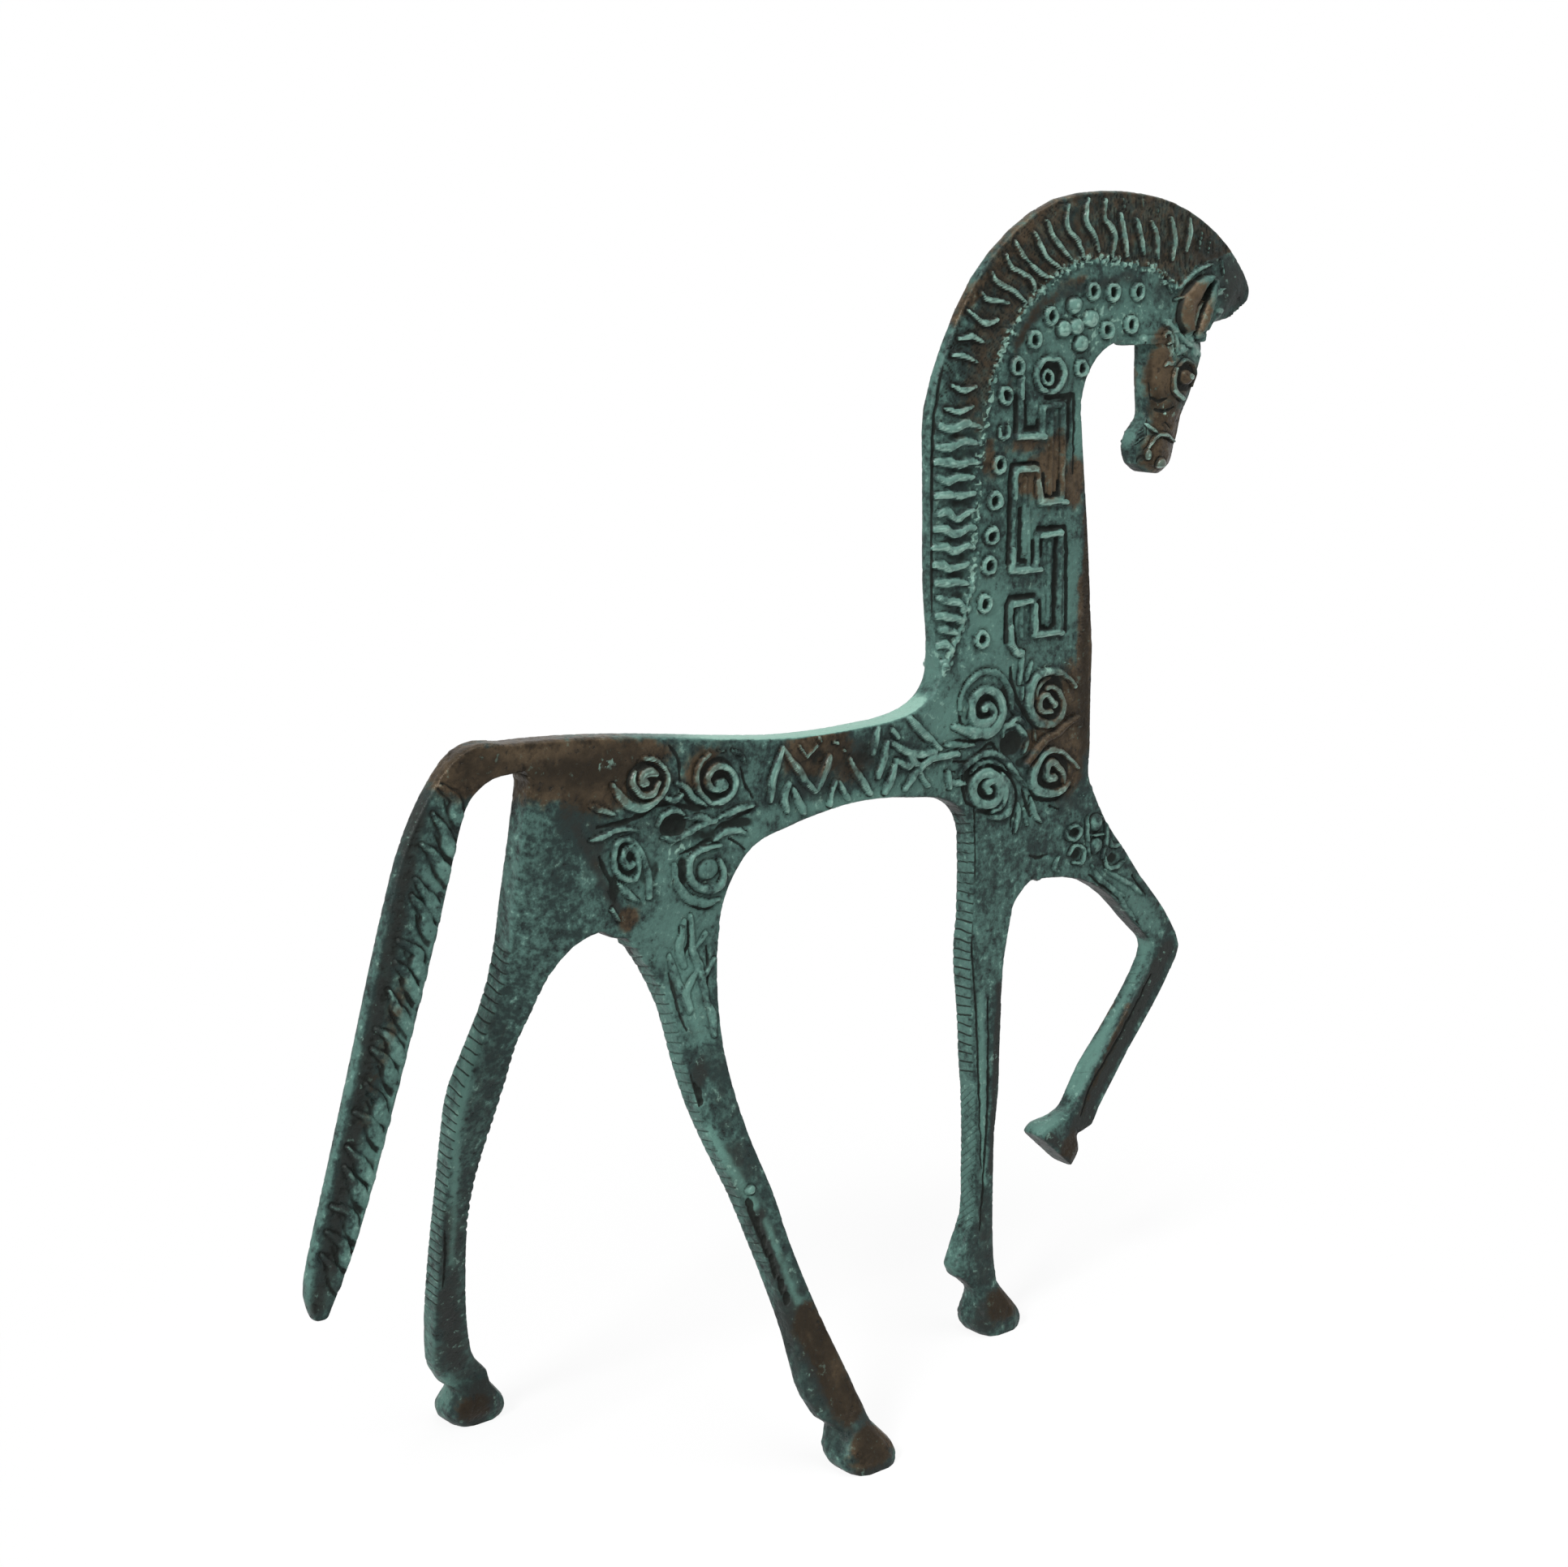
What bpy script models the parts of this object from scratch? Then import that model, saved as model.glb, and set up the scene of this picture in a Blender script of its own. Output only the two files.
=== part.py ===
"""Cast bronze horse: a flat figure made of section castings on pinned butt joints.

Units are metres, +Z up. The horse faces +X and its left side is +Y.
The origin is on the ground under the middle of the figure.
The flat castings lie in the plate plane y = 0, and only the hind legs splay out of it.
"""

import math

import bmesh
import bpy
from mathutils import Matrix, Vector

MM = 0.001

# Layout: the two whorl centres carry the body, and the poll carries the head.
HAUNCH_X = -45.0 * MM
HAUNCH_Z = 140.0 * MM
WHORL_SPACING = 99.6 * MM
SHOULDER_RISE = 5.0 * MM
POLL_REACH = 52.4 * MM
POLL_RISE = 91.0 * MM
HIND_TRACK = 74.4 * MM
RIGHT_HIND_X = HAUNCH_X + 23.8 * MM
LEFT_HIND_X = HAUNCH_X - 29.4 * MM
LEFT_FORE_X = HAUNCH_X + WHORL_SPACING - 4.6 * MM
LEFT_FORE_Y = -2.7 * MM

# Casting thicknesses, across the figure.
PLATE = 6.4 * MM
MANE_EDGE = 3.2 * MM
NECK_MIDDLE = 5.9 * MM
THROAT_EDGE = 5.0 * MM
HEAD_MIDDLE = 7.4 * MM
JAW_EDGE = 4.4 * MM
TAIL_ROOT = 6.3 * MM
TAIL_BLADE = 3.4 * MM
CANNON = 5.4 * MM
RAISED_CANNON = 5.8 * MM
EDGE_ROUND = 1.0 * MM

# Hooves: coronet height, widths across the figure, and what stands above the coronet.
HOOF_HEIGHT = 10.0 * MM
HOOF_WIDTH = 11.2 * MM
CORONET_WIDTH = 8.4 * MM
RAISED_HOOF_WIDTH = 7.2 * MM
HIND_HOOF_SPREAD = 0.3 * MM
RAISED_CORONET_WIDTH = 6.2 * MM
FETLOCK_RISE = 9.0 * MM
HEEL_RISE = 5.0 * MM
PASTERN_RISE = 2.0 * MM

# Hoof wall seen from the side: share of its height, then heel and toe from its centre.
HOOF_WALL = ((0.9, -5.8, 2.8), (0.45, -7.0, 6.2), (0.15, -6.4, 6.7), (0.0, -4.8, 5.6))

# Corner rounding of a leg's ribs, as a share of their thickness.
SHANK_ROUNDING = 0.14
HOOF_ROUNDING = 0.3

# Pinned butt joints between the castings.
JOINT_GAP = 0.3 * MM
DOWEL_DIAMETER = 2.0 * MM
DOWEL_LENGTH = 9.0 * MM
DOWEL_CLEARANCE = 0.1 * MM
DOWEL_END_GAP = 0.4 * MM
TAIL_DOWEL_DIAMETER = 1.6 * MM
SEAT_OVERRUN = 3.0 * MM
SPLAY_START = 7.0 * MM

# Mesh fineness.
RIB_STEPS = 2
ARC_STEPS = 2
SIDE_SHARES = (-0.6, 0.0, 0.6)
SHARP_ANGLE = math.radians(40)
WELD_DISTANCE = 0.001 * MM
OUTLINE_STEPS = 3
DOWEL_SIDES = 12

BRONZE = (0.165, 0.105, 0.06, 1.0)
VERDIGRIS = (0.13, 0.22, 0.19, 1.0)
PIN_BRONZE = (0.42, 0.27, 0.13, 1.0)

HAUNCH = Vector((HAUNCH_X, HAUNCH_Z))
SHOULDER = HAUNCH + Vector((WHORL_SPACING, SHOULDER_RISE))
POLL = SHOULDER + Vector((POLL_REACH, POLL_RISE))


def off(datum, dx, dz):
    """Point of the plate plane (x, z), given in millimetres from a datum."""
    return datum + Vector((dx, dz)) * MM


class Seat:
    """Flat joint face: the limb lies to the right of the way from start to end."""

    def __init__(self, start, end, thickness):
        self.start = start
        self.end = end
        self.thickness = thickness
        self.length = (end - start).length
        self.middle = (start + end) / 2
        self.along = (end - start).normalized()
        self.out = Vector((self.along.y, -self.along.x))

    def shifted(self, distance):
        """The two ends, moved away from the body along the joint's normal."""
        return self.start + self.out * distance, self.end + self.out * distance

    def frame(self, share, distance):
        """World matrix on the seat: X along it, Z out towards the limb."""
        place = self.middle + self.along * share * self.length / 2 + self.out * distance
        along = Vector((self.along.x, 0, self.along.y))
        out = Vector((self.out.x, 0, self.out.y))
        turn = Matrix((along, out.cross(along), out)).transposed().to_4x4()
        return Matrix.Translation((place.x, 0, place.y)) @ turn


SEATS = {
    "neck": Seat(off(SHOULDER, 25.4, 19), off(SHOULDER, -23.4, 19), PLATE),
    "head": Seat(off(POLL, -10.5, 0), off(POLL, 8.4, 0), HEAD_MIDDLE),
    "tail": Seat(off(HAUNCH, -41, 22.4), off(HAUNCH, -41, 16.4), TAIL_ROOT),
    "left_hind": Seat(off(HAUNCH, -35.5, 15.8), off(HAUNCH, -19.5, -20.0), PLATE),
    "right_hind": Seat(off(HAUNCH, -10.8, -24), off(HAUNCH, 12.3, -24), PLATE),
    "left_fore": Seat(off(SHOULDER, -12.6, -41), off(SHOULDER, 0.4, -41), PLATE),
    "right_fore": Seat(off(SHOULDER, 8.4, -34.6), off(SHOULDER, 26.0, -14), PLATE),
}

# Dowel places on each seat, as shares of its half length.
DOWEL_SHARES = {
    "neck": (-0.5, 0.5),
    "head": (-0.42, 0.42),
    "tail": (0.0,),
    "left_hind": (-0.45, 0.45),
    "right_hind": (-0.45, 0.45),
    "left_fore": (-0.45, 0.45),
    "right_fore": (-0.45, 0.45),
}


def dowel_diameter(joint):
    """The tail's root takes a thinner pin than the other joints."""
    return TAIL_DOWEL_DIAMETER if joint == "tail" else DOWEL_DIAMETER


def new_collection(name):
    """Empty collection in the scene."""
    collection = bpy.data.collections.new(name)
    bpy.context.scene.collection.children.link(collection)
    return collection


def cast_material(name, color, roughness, metallic):
    """Principled material of one casting finish."""
    material = bpy.data.materials.new(name)
    material.use_nodes = True
    shader = material.node_tree.nodes["Principled BSDF"]
    shader.inputs["Base Color"].default_value = color
    shader.inputs["Roughness"].default_value = roughness
    shader.inputs["Metallic"].default_value = metallic
    material.diffuse_color = color
    return material


def place_mesh(name, mesh, collection, material=None):
    """Object around a mesh, smooth shaded with sharp joint faces."""
    piece = bpy.data.objects.new(name, mesh)
    collection.objects.link(piece)
    mesh.shade_smooth()
    mesh.set_sharp_from_angle(angle=SHARP_ANGLE)
    if material:
        mesh.materials.append(material)
    return piece


def smooth_rows(rows, steps):
    """Catmull-Rom rows through a list of equal rows of numbers."""
    count = len(rows)
    result = []
    for index in range(count - 1):
        before = rows[max(index - 1, 0)]
        start = rows[index]
        end = rows[index + 1]
        after = rows[min(index + 2, count - 1)]
        for step in range(steps):
            t = step / steps
            result.append([
                0.5 * (2 * b + (c - a) * t + (2 * a - 5 * b + 4 * c - d) * t ** 2
                       + (3 * b - a - 3 * c + d) * t ** 3)
                for a, b, c, d in zip(before, start, end, after)
            ])
    result.append(list(rows[-1]))
    return result


def arc_points(cx, cy, radius, first_angle):
    """Quarter turn of a ring's corner, running clockwise from an angle."""
    points = []
    for step in range(ARC_STEPS + 1):
        angle = first_angle - math.pi / 2 * step / ARC_STEPS
        points.append((cx + radius * math.cos(angle), cy + radius * math.sin(angle)))
    return points


def rib_ring(width, start_thick, middle_thick, end_thick, rounding):
    """Closed section of a rib, as (along, across) points about its middle."""
    half = width / 2
    start_half = start_thick / 2
    end_half = end_thick / 2
    radius = min(rounding, 0.95 * half, 0.95 * start_half, 0.95 * end_half)
    flat = half - radius

    def depth(share):
        straight = start_half + (end_half - start_half) * (share + 1) / 2
        return straight + (middle_thick / 2 - (start_half + end_half) / 2) * (1 - share * share)

    near_side = [(share * flat, depth(share)) for share in SIDE_SHARES]
    far_side = [(x, -y) for x, y in reversed(near_side)]
    return (
        near_side
        + arc_points(flat, end_half - radius, radius, math.pi / 2)
        + arc_points(flat, radius - end_half, radius, 0)
        + far_side
        + arc_points(-flat, radius - start_half, radius, -math.pi / 2)
        + arc_points(-flat, start_half - radius, radius, math.pi)
    )


def rib(start, end, across, thickness, rounding=EDGE_ROUND):
    """One row of a casting: two edge points, place across, and its thicknesses."""
    start_thick, middle_thick, end_thick = thickness
    return [start.x, start.y, end.x, end.y, across,
            start_thick, middle_thick, end_thick, rounding]


def even(thickness):
    """A rib of the same thickness from edge to edge."""
    return thickness, thickness, thickness


def loft(name, ribs, collection, material):
    """Closed casting through its ribs, with flat ends."""
    shape = bmesh.new()
    rings = []
    for sx, sz, ex, ez, across, t0, t1, t2, rounding in smooth_rows(ribs, RIB_STEPS):
        start = Vector((sx, across, sz))
        end = Vector((ex, across, ez))
        along = (end - start).normalized()
        middle = (start + end) / 2
        section = rib_ring((end - start).length, t0, t1, t2, rounding)
        rings.append([shape.verts.new(middle + along * u + Vector((0, v, 0)))
                      for u, v in section])
    for lower, upper in zip(rings, rings[1:]):
        for index in range(len(lower)):
            after = (index + 1) % len(lower)
            shape.faces.new((lower[index], lower[after], upper[after], upper[index]))
    shape.faces.new(rings[0])
    shape.faces.new(rings[-1])
    bmesh.ops.recalc_face_normals(shape, faces=shape.faces)
    mesh = bpy.data.meshes.new(name)
    shape.to_mesh(mesh)
    shape.free()
    return place_mesh(name, mesh, collection, material)


def seat_rib(seat, thickness):
    """First rib of a limb, half a gap away from the joint plane."""
    start, end = seat.shifted(JOINT_GAP / 2)
    return rib(start, end, 0, thickness)


def box_mesh(name, matrix, low, high):
    """Box between two corners, set by a matrix."""
    size = [b - a for a, b in zip(low, high)]
    centre = [(a + b) / 2 for a, b in zip(low, high)]
    shape = bmesh.new()
    place = matrix @ Matrix.Translation(centre) @ Matrix.Diagonal((*size, 1))
    bmesh.ops.create_cube(shape, size=1, matrix=place)
    mesh = bpy.data.meshes.new(name)
    shape.to_mesh(mesh)
    shape.free()
    return mesh


def rod_mesh(name, matrix, radius, length):
    """Round pin or bore about the Z axis of a matrix."""
    shape = bmesh.new()
    bmesh.ops.create_cone(shape, cap_ends=True, segments=DOWEL_SIDES,
                          radius1=radius, radius2=radius, depth=length, matrix=matrix)
    mesh = bpy.data.meshes.new(name)
    shape.to_mesh(mesh)
    shape.free()
    return mesh


def cut(piece, name, mesh, cutters):
    """Take a cutter's shape out of a casting with a Boolean."""
    cutter = place_mesh(name, mesh, cutters)
    cutter.hide_render = True
    cutter.display_type = "WIRE"
    boolean = piece.modifiers.new(name, "BOOLEAN")
    boolean.operation = "DIFFERENCE"
    boolean.object = cutter


def trim_at_seat(piece, joint, cutters):
    """Square the body's side of a joint half a gap short of its plane."""
    seat = SEATS[joint]
    reach = seat.length / 2 + SEAT_OVERRUN / 2
    low = (-reach, -2 * seat.thickness, -JOINT_GAP / 2)
    high = (reach, 2 * seat.thickness, 3 * SEAT_OVERRUN)
    cut(piece, f"{joint}_seat_cut", box_mesh(f"{joint}_seat_cut", seat.frame(0, 0), low, high),
        cutters)


def drill_seat(piece, joint, cutters):
    """Blind holes for the joint's dowels in one of its two castings."""
    radius = dowel_diameter(joint) / 2 + DOWEL_CLEARANCE
    depth = DOWEL_LENGTH + 2 * DOWEL_END_GAP
    for number, share in enumerate(DOWEL_SHARES[joint], 1):
        name = f"{piece.name}_{joint}_hole_{number}"
        cut(piece, name, rod_mesh(name, SEATS[joint].frame(share, 0), radius, depth), cutters)


def joint_dowels(joint, collection, material):
    """The dowel pins of one joint."""
    for number, share in enumerate(DOWEL_SHARES[joint], 1):
        name = f"{joint}_dowel_{number}"
        matrix = SEATS[joint].frame(share, 0)
        mesh = rod_mesh(name, matrix, dowel_diameter(joint) / 2, DOWEL_LENGTH)
        place_mesh(name, mesh, collection, material)


def outline_plate(name, outline, collection, material):
    """Flat plate with rounded edges from a closed outline of (point, is_corner) pairs."""
    curve = bpy.data.curves.new(name, "CURVE")
    curve.dimensions = "2D"
    curve.fill_mode = "BOTH"
    curve.resolution_u = OUTLINE_STEPS
    curve.extrude = PLATE / 2 - EDGE_ROUND
    curve.bevel_depth = EDGE_ROUND
    curve.bevel_resolution = ARC_STEPS - 1
    curve.offset = -EDGE_ROUND
    spline = curve.splines.new("BEZIER")
    spline.use_cyclic_u = True
    spline.bezier_points.add(len(outline) - 1)
    for knot, (point, is_corner) in zip(spline.bezier_points, outline):
        knot.co = (point.x, point.y, 0)
        kind = "VECTOR" if is_corner else "AUTO"
        knot.handle_left_type = kind
        knot.handle_right_type = kind
    flat = bpy.data.objects.new(name, curve)
    collection.objects.link(flat)
    flat.matrix_world = Matrix.Rotation(math.pi / 2, 4, "X")
    bpy.context.view_layer.update()
    mesh = bpy.data.meshes.new_from_object(flat.evaluated_get(bpy.context.evaluated_depsgraph_get()))
    mesh.transform(flat.matrix_world)
    bpy.data.objects.remove(flat)
    shape = bmesh.new()
    shape.from_mesh(mesh)
    bmesh.ops.remove_doubles(shape, verts=shape.verts, dist=WELD_DISTANCE)
    bmesh.ops.recalc_face_normals(shape, faces=shape.faces)
    shape.to_mesh(mesh)
    shape.free()
    mesh.name = name
    return place_mesh(name, mesh, collection, material)


def seat_corners(joint):
    """Outline points that run past a seat, so that the seat can be trimmed square."""
    seat = SEATS[joint]
    far_start, far_end = seat.shifted(SEAT_OVERRUN)
    return [(seat.start, False), (far_start, True), (far_end, True), (seat.end, False)]


def run(datum, *points):
    """Smooth stretch of an outline, in millimetres from a datum."""
    return [(off(datum, dx, dz), False) for dx, dz in points]


def make_body(collection, material):
    """Barrel, haunch and shoulder in one plate, with a seat for each limb."""
    outline = (
        seat_corners("tail")
        + run(HAUNCH, (-37.5, 16.5))
        + seat_corners("left_hind")
        + run(HAUNCH, (-15.8, -21.9))
        + seat_corners("right_hind")
        + run(HAUNCH, (13.3, -19.5), (16.3, -13.6), (22.0, -8.0), (31.0, -5.4), (43.0, -3.3))
        + run(SHOULDER, (-46.0, -7.6), (-32.0, -8.9), (-19.5, -11.8), (-14.0, -17.0),
              (-12.6, -26.0))
        + seat_corners("left_fore")
        + run(SHOULDER, (3.2, -37.2))
        + seat_corners("right_fore")
        + run(SHOULDER, (25.5, -4.0), (25.3, 7.0))
        + seat_corners("neck")
        + run(SHOULDER, (-24.9, 15.2), (-28.8, 11.9), (-36.0, 9.8), (-45.0, 9.2))
        + run(HAUNCH, (34.0, 14.3), (18.0, 16.0), (2.0, 18.3), (-13.0, 20.3), (-27.0, 21.7))
    )
    return outline_plate("body_plate", outline, collection, material)


def make_neck(collection, material):
    """Arched neck with the mane along its thin edge, up to the forelock's tip."""
    wedge = (THROAT_EDGE, NECK_MIDDLE, MANE_EDGE)
    crown = (HEAD_MIDDLE, NECK_MIDDLE, MANE_EDGE)

    def low(front, back, thickness):
        return rib(off(SHOULDER, *front), off(SHOULDER, *back), 0, thickness)

    def high(front, back, thickness):
        return rib(off(POLL, *front), off(POLL, *back), 0, thickness)

    return loft("neck", [
        seat_rib(SEATS["neck"], even(PLATE)),
        low((25.5, 25.5), (-24.7, 26.5), (THROAT_EDGE, PLATE, MANE_EDGE)),
        low((24.6, 37), (-25.9, 39), wedge),
        low((23.3, 50), (-26.1, 53), wedge),
        high((-30.5, -29), (-78.8, -25), wedge),
        high((-31.5, -19.5), (-78.6, -13), wedge),
        high((-31.9, -13.8), (-73.4, 1), wedge),
        high((-30.4, -8.3), (-64.9, 15.1), wedge),
        high((-27.1, -3.8), (-53.5, 25.5), wedge),
        high((-23.0, -1.1), (-40.0, 32.2), wedge),
        high((-17.9, 0.1), (-25.0, 34), wedge),
        high((-11.5, 0.0), (-12.0, 33.4), crown),
        high((-6.0, -3.5), (-0.9, 31.3), crown),
        high((1.0, -3.5), (9.2, 27.1), crown),
        high((6.2, -3.5), (18.0, 21.3), crown),
        high((10.8, 2.4), (24.3, 14.5), wedge),
        high((14.8, 3.4), (26.3, 10.6), even(MANE_EDGE)),
        high((18.6, 4.0), (25.8, 8.3), even(MANE_EDGE)),
    ], collection, material)


def make_head(collection, material):
    """Head from the poll down to the blunt muzzle."""
    cheek = (JAW_EDGE, HEAD_MIDDLE, JAW_EDGE)

    def at(jaw, face, thickness, rounding=EDGE_ROUND):
        return rib(off(POLL, *jaw), off(POLL, *face), 0, thickness, rounding)

    return loft("head", [
        seat_rib(SEATS["head"], cheek),
        at((-10.4, -5.0), (8.9, -4.6), cheek),
        at((-10.3, -10.0), (7.0, -9.4), cheek),
        at((-9.8, -15.0), (4.9, -14.2), cheek),
        at((-9.9, -18.8), (2.4, -18.4), cheek),
        at((-12.8, -21.6), (1.4, -22.4), cheek),
        at((-14.2, -25.2), (0.0, -26.2), cheek),
        at((-13.0, -29.0), (-1.6, -30.0), cheek),
        at((-10.2, -31.1), (-4.2, -31.9), even(JAW_EDGE), JAW_EDGE / 2),
    ], collection, material)


def make_tail(collection, material):
    """Blade tail that arches off the croup and hangs free behind the hind legs."""
    root = off(HAUNCH, -41, 19.2)

    def at(outer, inner, thickness):
        return rib(off(root, *outer), off(root, *inner), 0, even(thickness))

    def thinner(share):
        return TAIL_ROOT + (TAIL_BLADE - TAIL_ROOT) * share

    return loft("tail", [
        seat_rib(SEATS["tail"], even(TAIL_ROOT)),
        at((-5.5, 4.0), (-3.6, -3.3), thinner(0.15)),
        at((-10.7, 2.7), (-7.1, -5.3), thinner(0.35)),
        at((-15.3, -1.4), (-9.7, -8.6), thinner(0.6)),
        at((-20.4, -8.5), (-11.5, -14.4), thinner(0.85)),
        at((-24.8, -17.6), (-13.8, -22.9), TAIL_BLADE),
        at((-30.0, -34.2), (-18.4, -37.9), TAIL_BLADE),
        at((-35.5, -53.7), (-25.0, -57.8), TAIL_BLADE),
        at((-42.1, -76.5), (-32.6, -80.0), TAIL_BLADE),
        at((-47.4, -94.5), (-38.0, -93.9), TAIL_BLADE),
        at((-48.7, -102.0), (-41.8, -101.6), TAIL_BLADE),
        at((-47.2, -107.0), (-44.5, -106.8), TAIL_BLADE),
    ], collection, material)


def splay(seat_height, height, hoof_across):
    """Place across the figure of a leg that starts to splay below its seat."""
    start = seat_height - SPLAY_START
    return hoof_across * max(0.0, 1 - height / start)


def shank_ribs(seat, top, hoof_x, hoof_across, stations):
    """Ribs down a standing leg, at shares of the way from its top to the ground."""
    ribs = []
    for share, back, front, thickness in stations:
        height = top.y * (1 - share)
        axis = top.x + (hoof_x - top.x) * share
        ribs.append(rib(
            Vector((axis + back * MM, height)), Vector((axis + front * MM, height)),
            splay(seat.middle.y, height, hoof_across), even(thickness), thickness * SHANK_ROUNDING))
    return ribs


def hoof_ribs(seat, hoof_x, hoof_across, fetlock, pastern, spread=0.0):
    """Fetlock, pastern and hoof, in sizes above the ground, down to a flat sole."""
    heel = [(a + b) / 2 for a, b in zip(fetlock, pastern)]
    levels = [
        (HOOF_HEIGHT + FETLOCK_RISE, fetlock, CANNON),
        (HOOF_HEIGHT + HEEL_RISE, heel, CANNON),
        (HOOF_HEIGHT + PASTERN_RISE, pastern, CANNON),
    ]
    for share, back, front in HOOF_WALL:
        if share == HOOF_WALL[0][0]:
            levels.append((HOOF_HEIGHT * share, (back, front), CORONET_WIDTH))
        else:
            wider = spread / MM
            levels.append((HOOF_HEIGHT * share, (back - wider, front + wider), HOOF_WIDTH))
    ribs = []
    for height, (back, front), width in levels:
        start = Vector((hoof_x + back * MM, height))
        end = Vector((hoof_x + front * MM, height))
        across = splay(seat.middle.y, height, hoof_across)
        ribs.append(rib(start, end, across, even(width), width * HOOF_ROUNDING))
    return ribs


def make_right_hind(collection, material):
    """Near hind leg, splayed out to the right."""
    seat = SEATS["right_hind"]
    across = -HIND_TRACK / 2
    stations = [
        (0.06, -8.1, 9.4, PLATE),
        (0.138, -7.0, 5.4, PLATE),
        (0.224, -8.3, 2.3, PLATE),
        (0.310, -9.2, 1.2, CANNON),
        (0.397, -8.4, 0.9, CANNON),
        (0.483, -7.0, 1.6, CANNON),
        (0.569, -6.6, 1.1, CANNON),
        (0.655, -6.4, 1.3, CANNON),
        (0.741, -6.6, 2.1, CANNON),
    ]
    return loft("right_hind_leg", (
        [seat_rib(seat, even(PLATE))]
        + shank_ribs(seat, seat.middle, RIGHT_HIND_X, across, stations)
        + hoof_ribs(seat, RIGHT_HIND_X, across, (-12.2, 0.1), (-9.2, 2.3), HIND_HOOF_SPREAD)
    ), collection, material)


def make_left_hind(collection, material):
    """Far hind leg with its plain thigh, splayed out to the left."""
    seat = SEATS["left_hind"]
    across = HIND_TRACK / 2

    def thigh(back, front, share_out):
        return rib(off(HAUNCH, *back), off(HAUNCH, *front), share_out * across, even(PLATE))

    hock = off(HAUNCH, -41, -52)
    stations = [
        (0.0, -5.1, 5.6, PLATE),
        (0.114, -6.8, 2.4, PLATE),
        (0.25, -8.1, -1.0, CANNON),
        (0.386, -9.2, -2.9, CANNON),
        (0.523, -10.1, -3.1, CANNON),
        (0.659, -10.6, -2.7, CANNON),
    ]
    leg_ribs = (
        shank_ribs(seat, hock, LEFT_HIND_X, across, stations)
        + hoof_ribs(seat, LEFT_HIND_X, across, (-13.1, -3.3), (-9.0, 2.0), HIND_HOOF_SPREAD)
    )
    return loft("left_hind_leg", [
        seat_rib(seat, even(PLATE)),
        thigh((-37.3, 2.5), (-25.4, -22.2), 0.02),
        thigh((-38.0, -11.0), (-30.2, -28.6), 0.09),
        thigh((-38.3, -24.0), (-33.1, -37.1), 0.167),
        thigh((-40.5, -36.0), (-34.8, -43.4), 0.235),
    ] + leg_ribs, collection, material)


def make_left_fore(collection, material):
    """Standing fore leg, straight down from the shoulder."""
    seat = SEATS["left_fore"]
    stations = [
        (0.067, -7.2, 4.9, PLATE),
        (0.135, -7.2, 3.4, PLATE),
        (0.231, -6.8, 3.1, CANNON),
        (0.327, -6.6, 2.4, CANNON),
        (0.423, -6.0, 1.8, CANNON),
        (0.519, -6.0, 0.3, CANNON),
        (0.615, -6.4, -0.2, CANNON),
        (0.712, -7.1, -0.6, CANNON),
    ]
    return loft("left_fore_leg", (
        [seat_rib(seat, even(PLATE))]
        + shank_ribs(seat, seat.middle, LEFT_FORE_X, LEFT_FORE_Y, stations)
        + hoof_ribs(seat, LEFT_FORE_X, LEFT_FORE_Y, (-13.2, -0.3), (-6.8, 0.9))
    ), collection, material)


def make_right_fore(collection, material):
    """Raised fore leg: forward to the knee, then folded back to the hoof."""
    lower = even(RAISED_CANNON)

    def at(inner, outer, thickness, rounding=EDGE_ROUND):
        return rib(off(SHOULDER, *inner), off(SHOULDER, *outer), 0, thickness, rounding)

    soft = RAISED_CANNON * SHANK_ROUNDING
    hoof = RAISED_HOOF_WIDTH * HOOF_ROUNDING
    return loft("right_fore_leg", [
        seat_rib(SEATS["right_fore"], even(PLATE)),
        at((17.6, -35.6), (31.5, -23.7), even(PLATE)),
        at((27.2, -38.7), (38.4, -32.0), even(PLATE)),
        at((35.5, -44.0), (44.3, -39.5), even(PLATE)),
        at((42.4, -50.8), (51.6, -47.4), lower, soft),
        at((46.9, -54.9), (56.4, -53.9), lower, soft),
        at((49.7, -57.8), (59.5, -60.3), lower, soft),
        at((49.7, -62.0), (56.5, -66.3), lower, soft),
        at((44.3, -70.1), (50.4, -74.5), lower, soft),
        at((36.7, -78.9), (42.7, -83.4), lower, soft),
        at((29.6, -86.3), (36.4, -91.4), lower, soft),
        at((25.6, -92.3), (31.9, -97.2), lower, soft),
        at((23.2, -95.8), (29.7, -101.0), lower, soft),
        at((20.5, -96.5), (25.5, -102.6), even(RAISED_CORONET_WIDTH), hoof),
        at((17.1, -97.4), (25.0, -104.0), even(RAISED_CORONET_WIDTH), hoof),
        at((13.0, -98.1), (25.2, -106.8), even(RAISED_HOOF_WIDTH), hoof),
        at((11.2, -99.7), (22.8, -110.2), even(RAISED_HOOF_WIDTH), hoof),
    ], collection, material)


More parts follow.
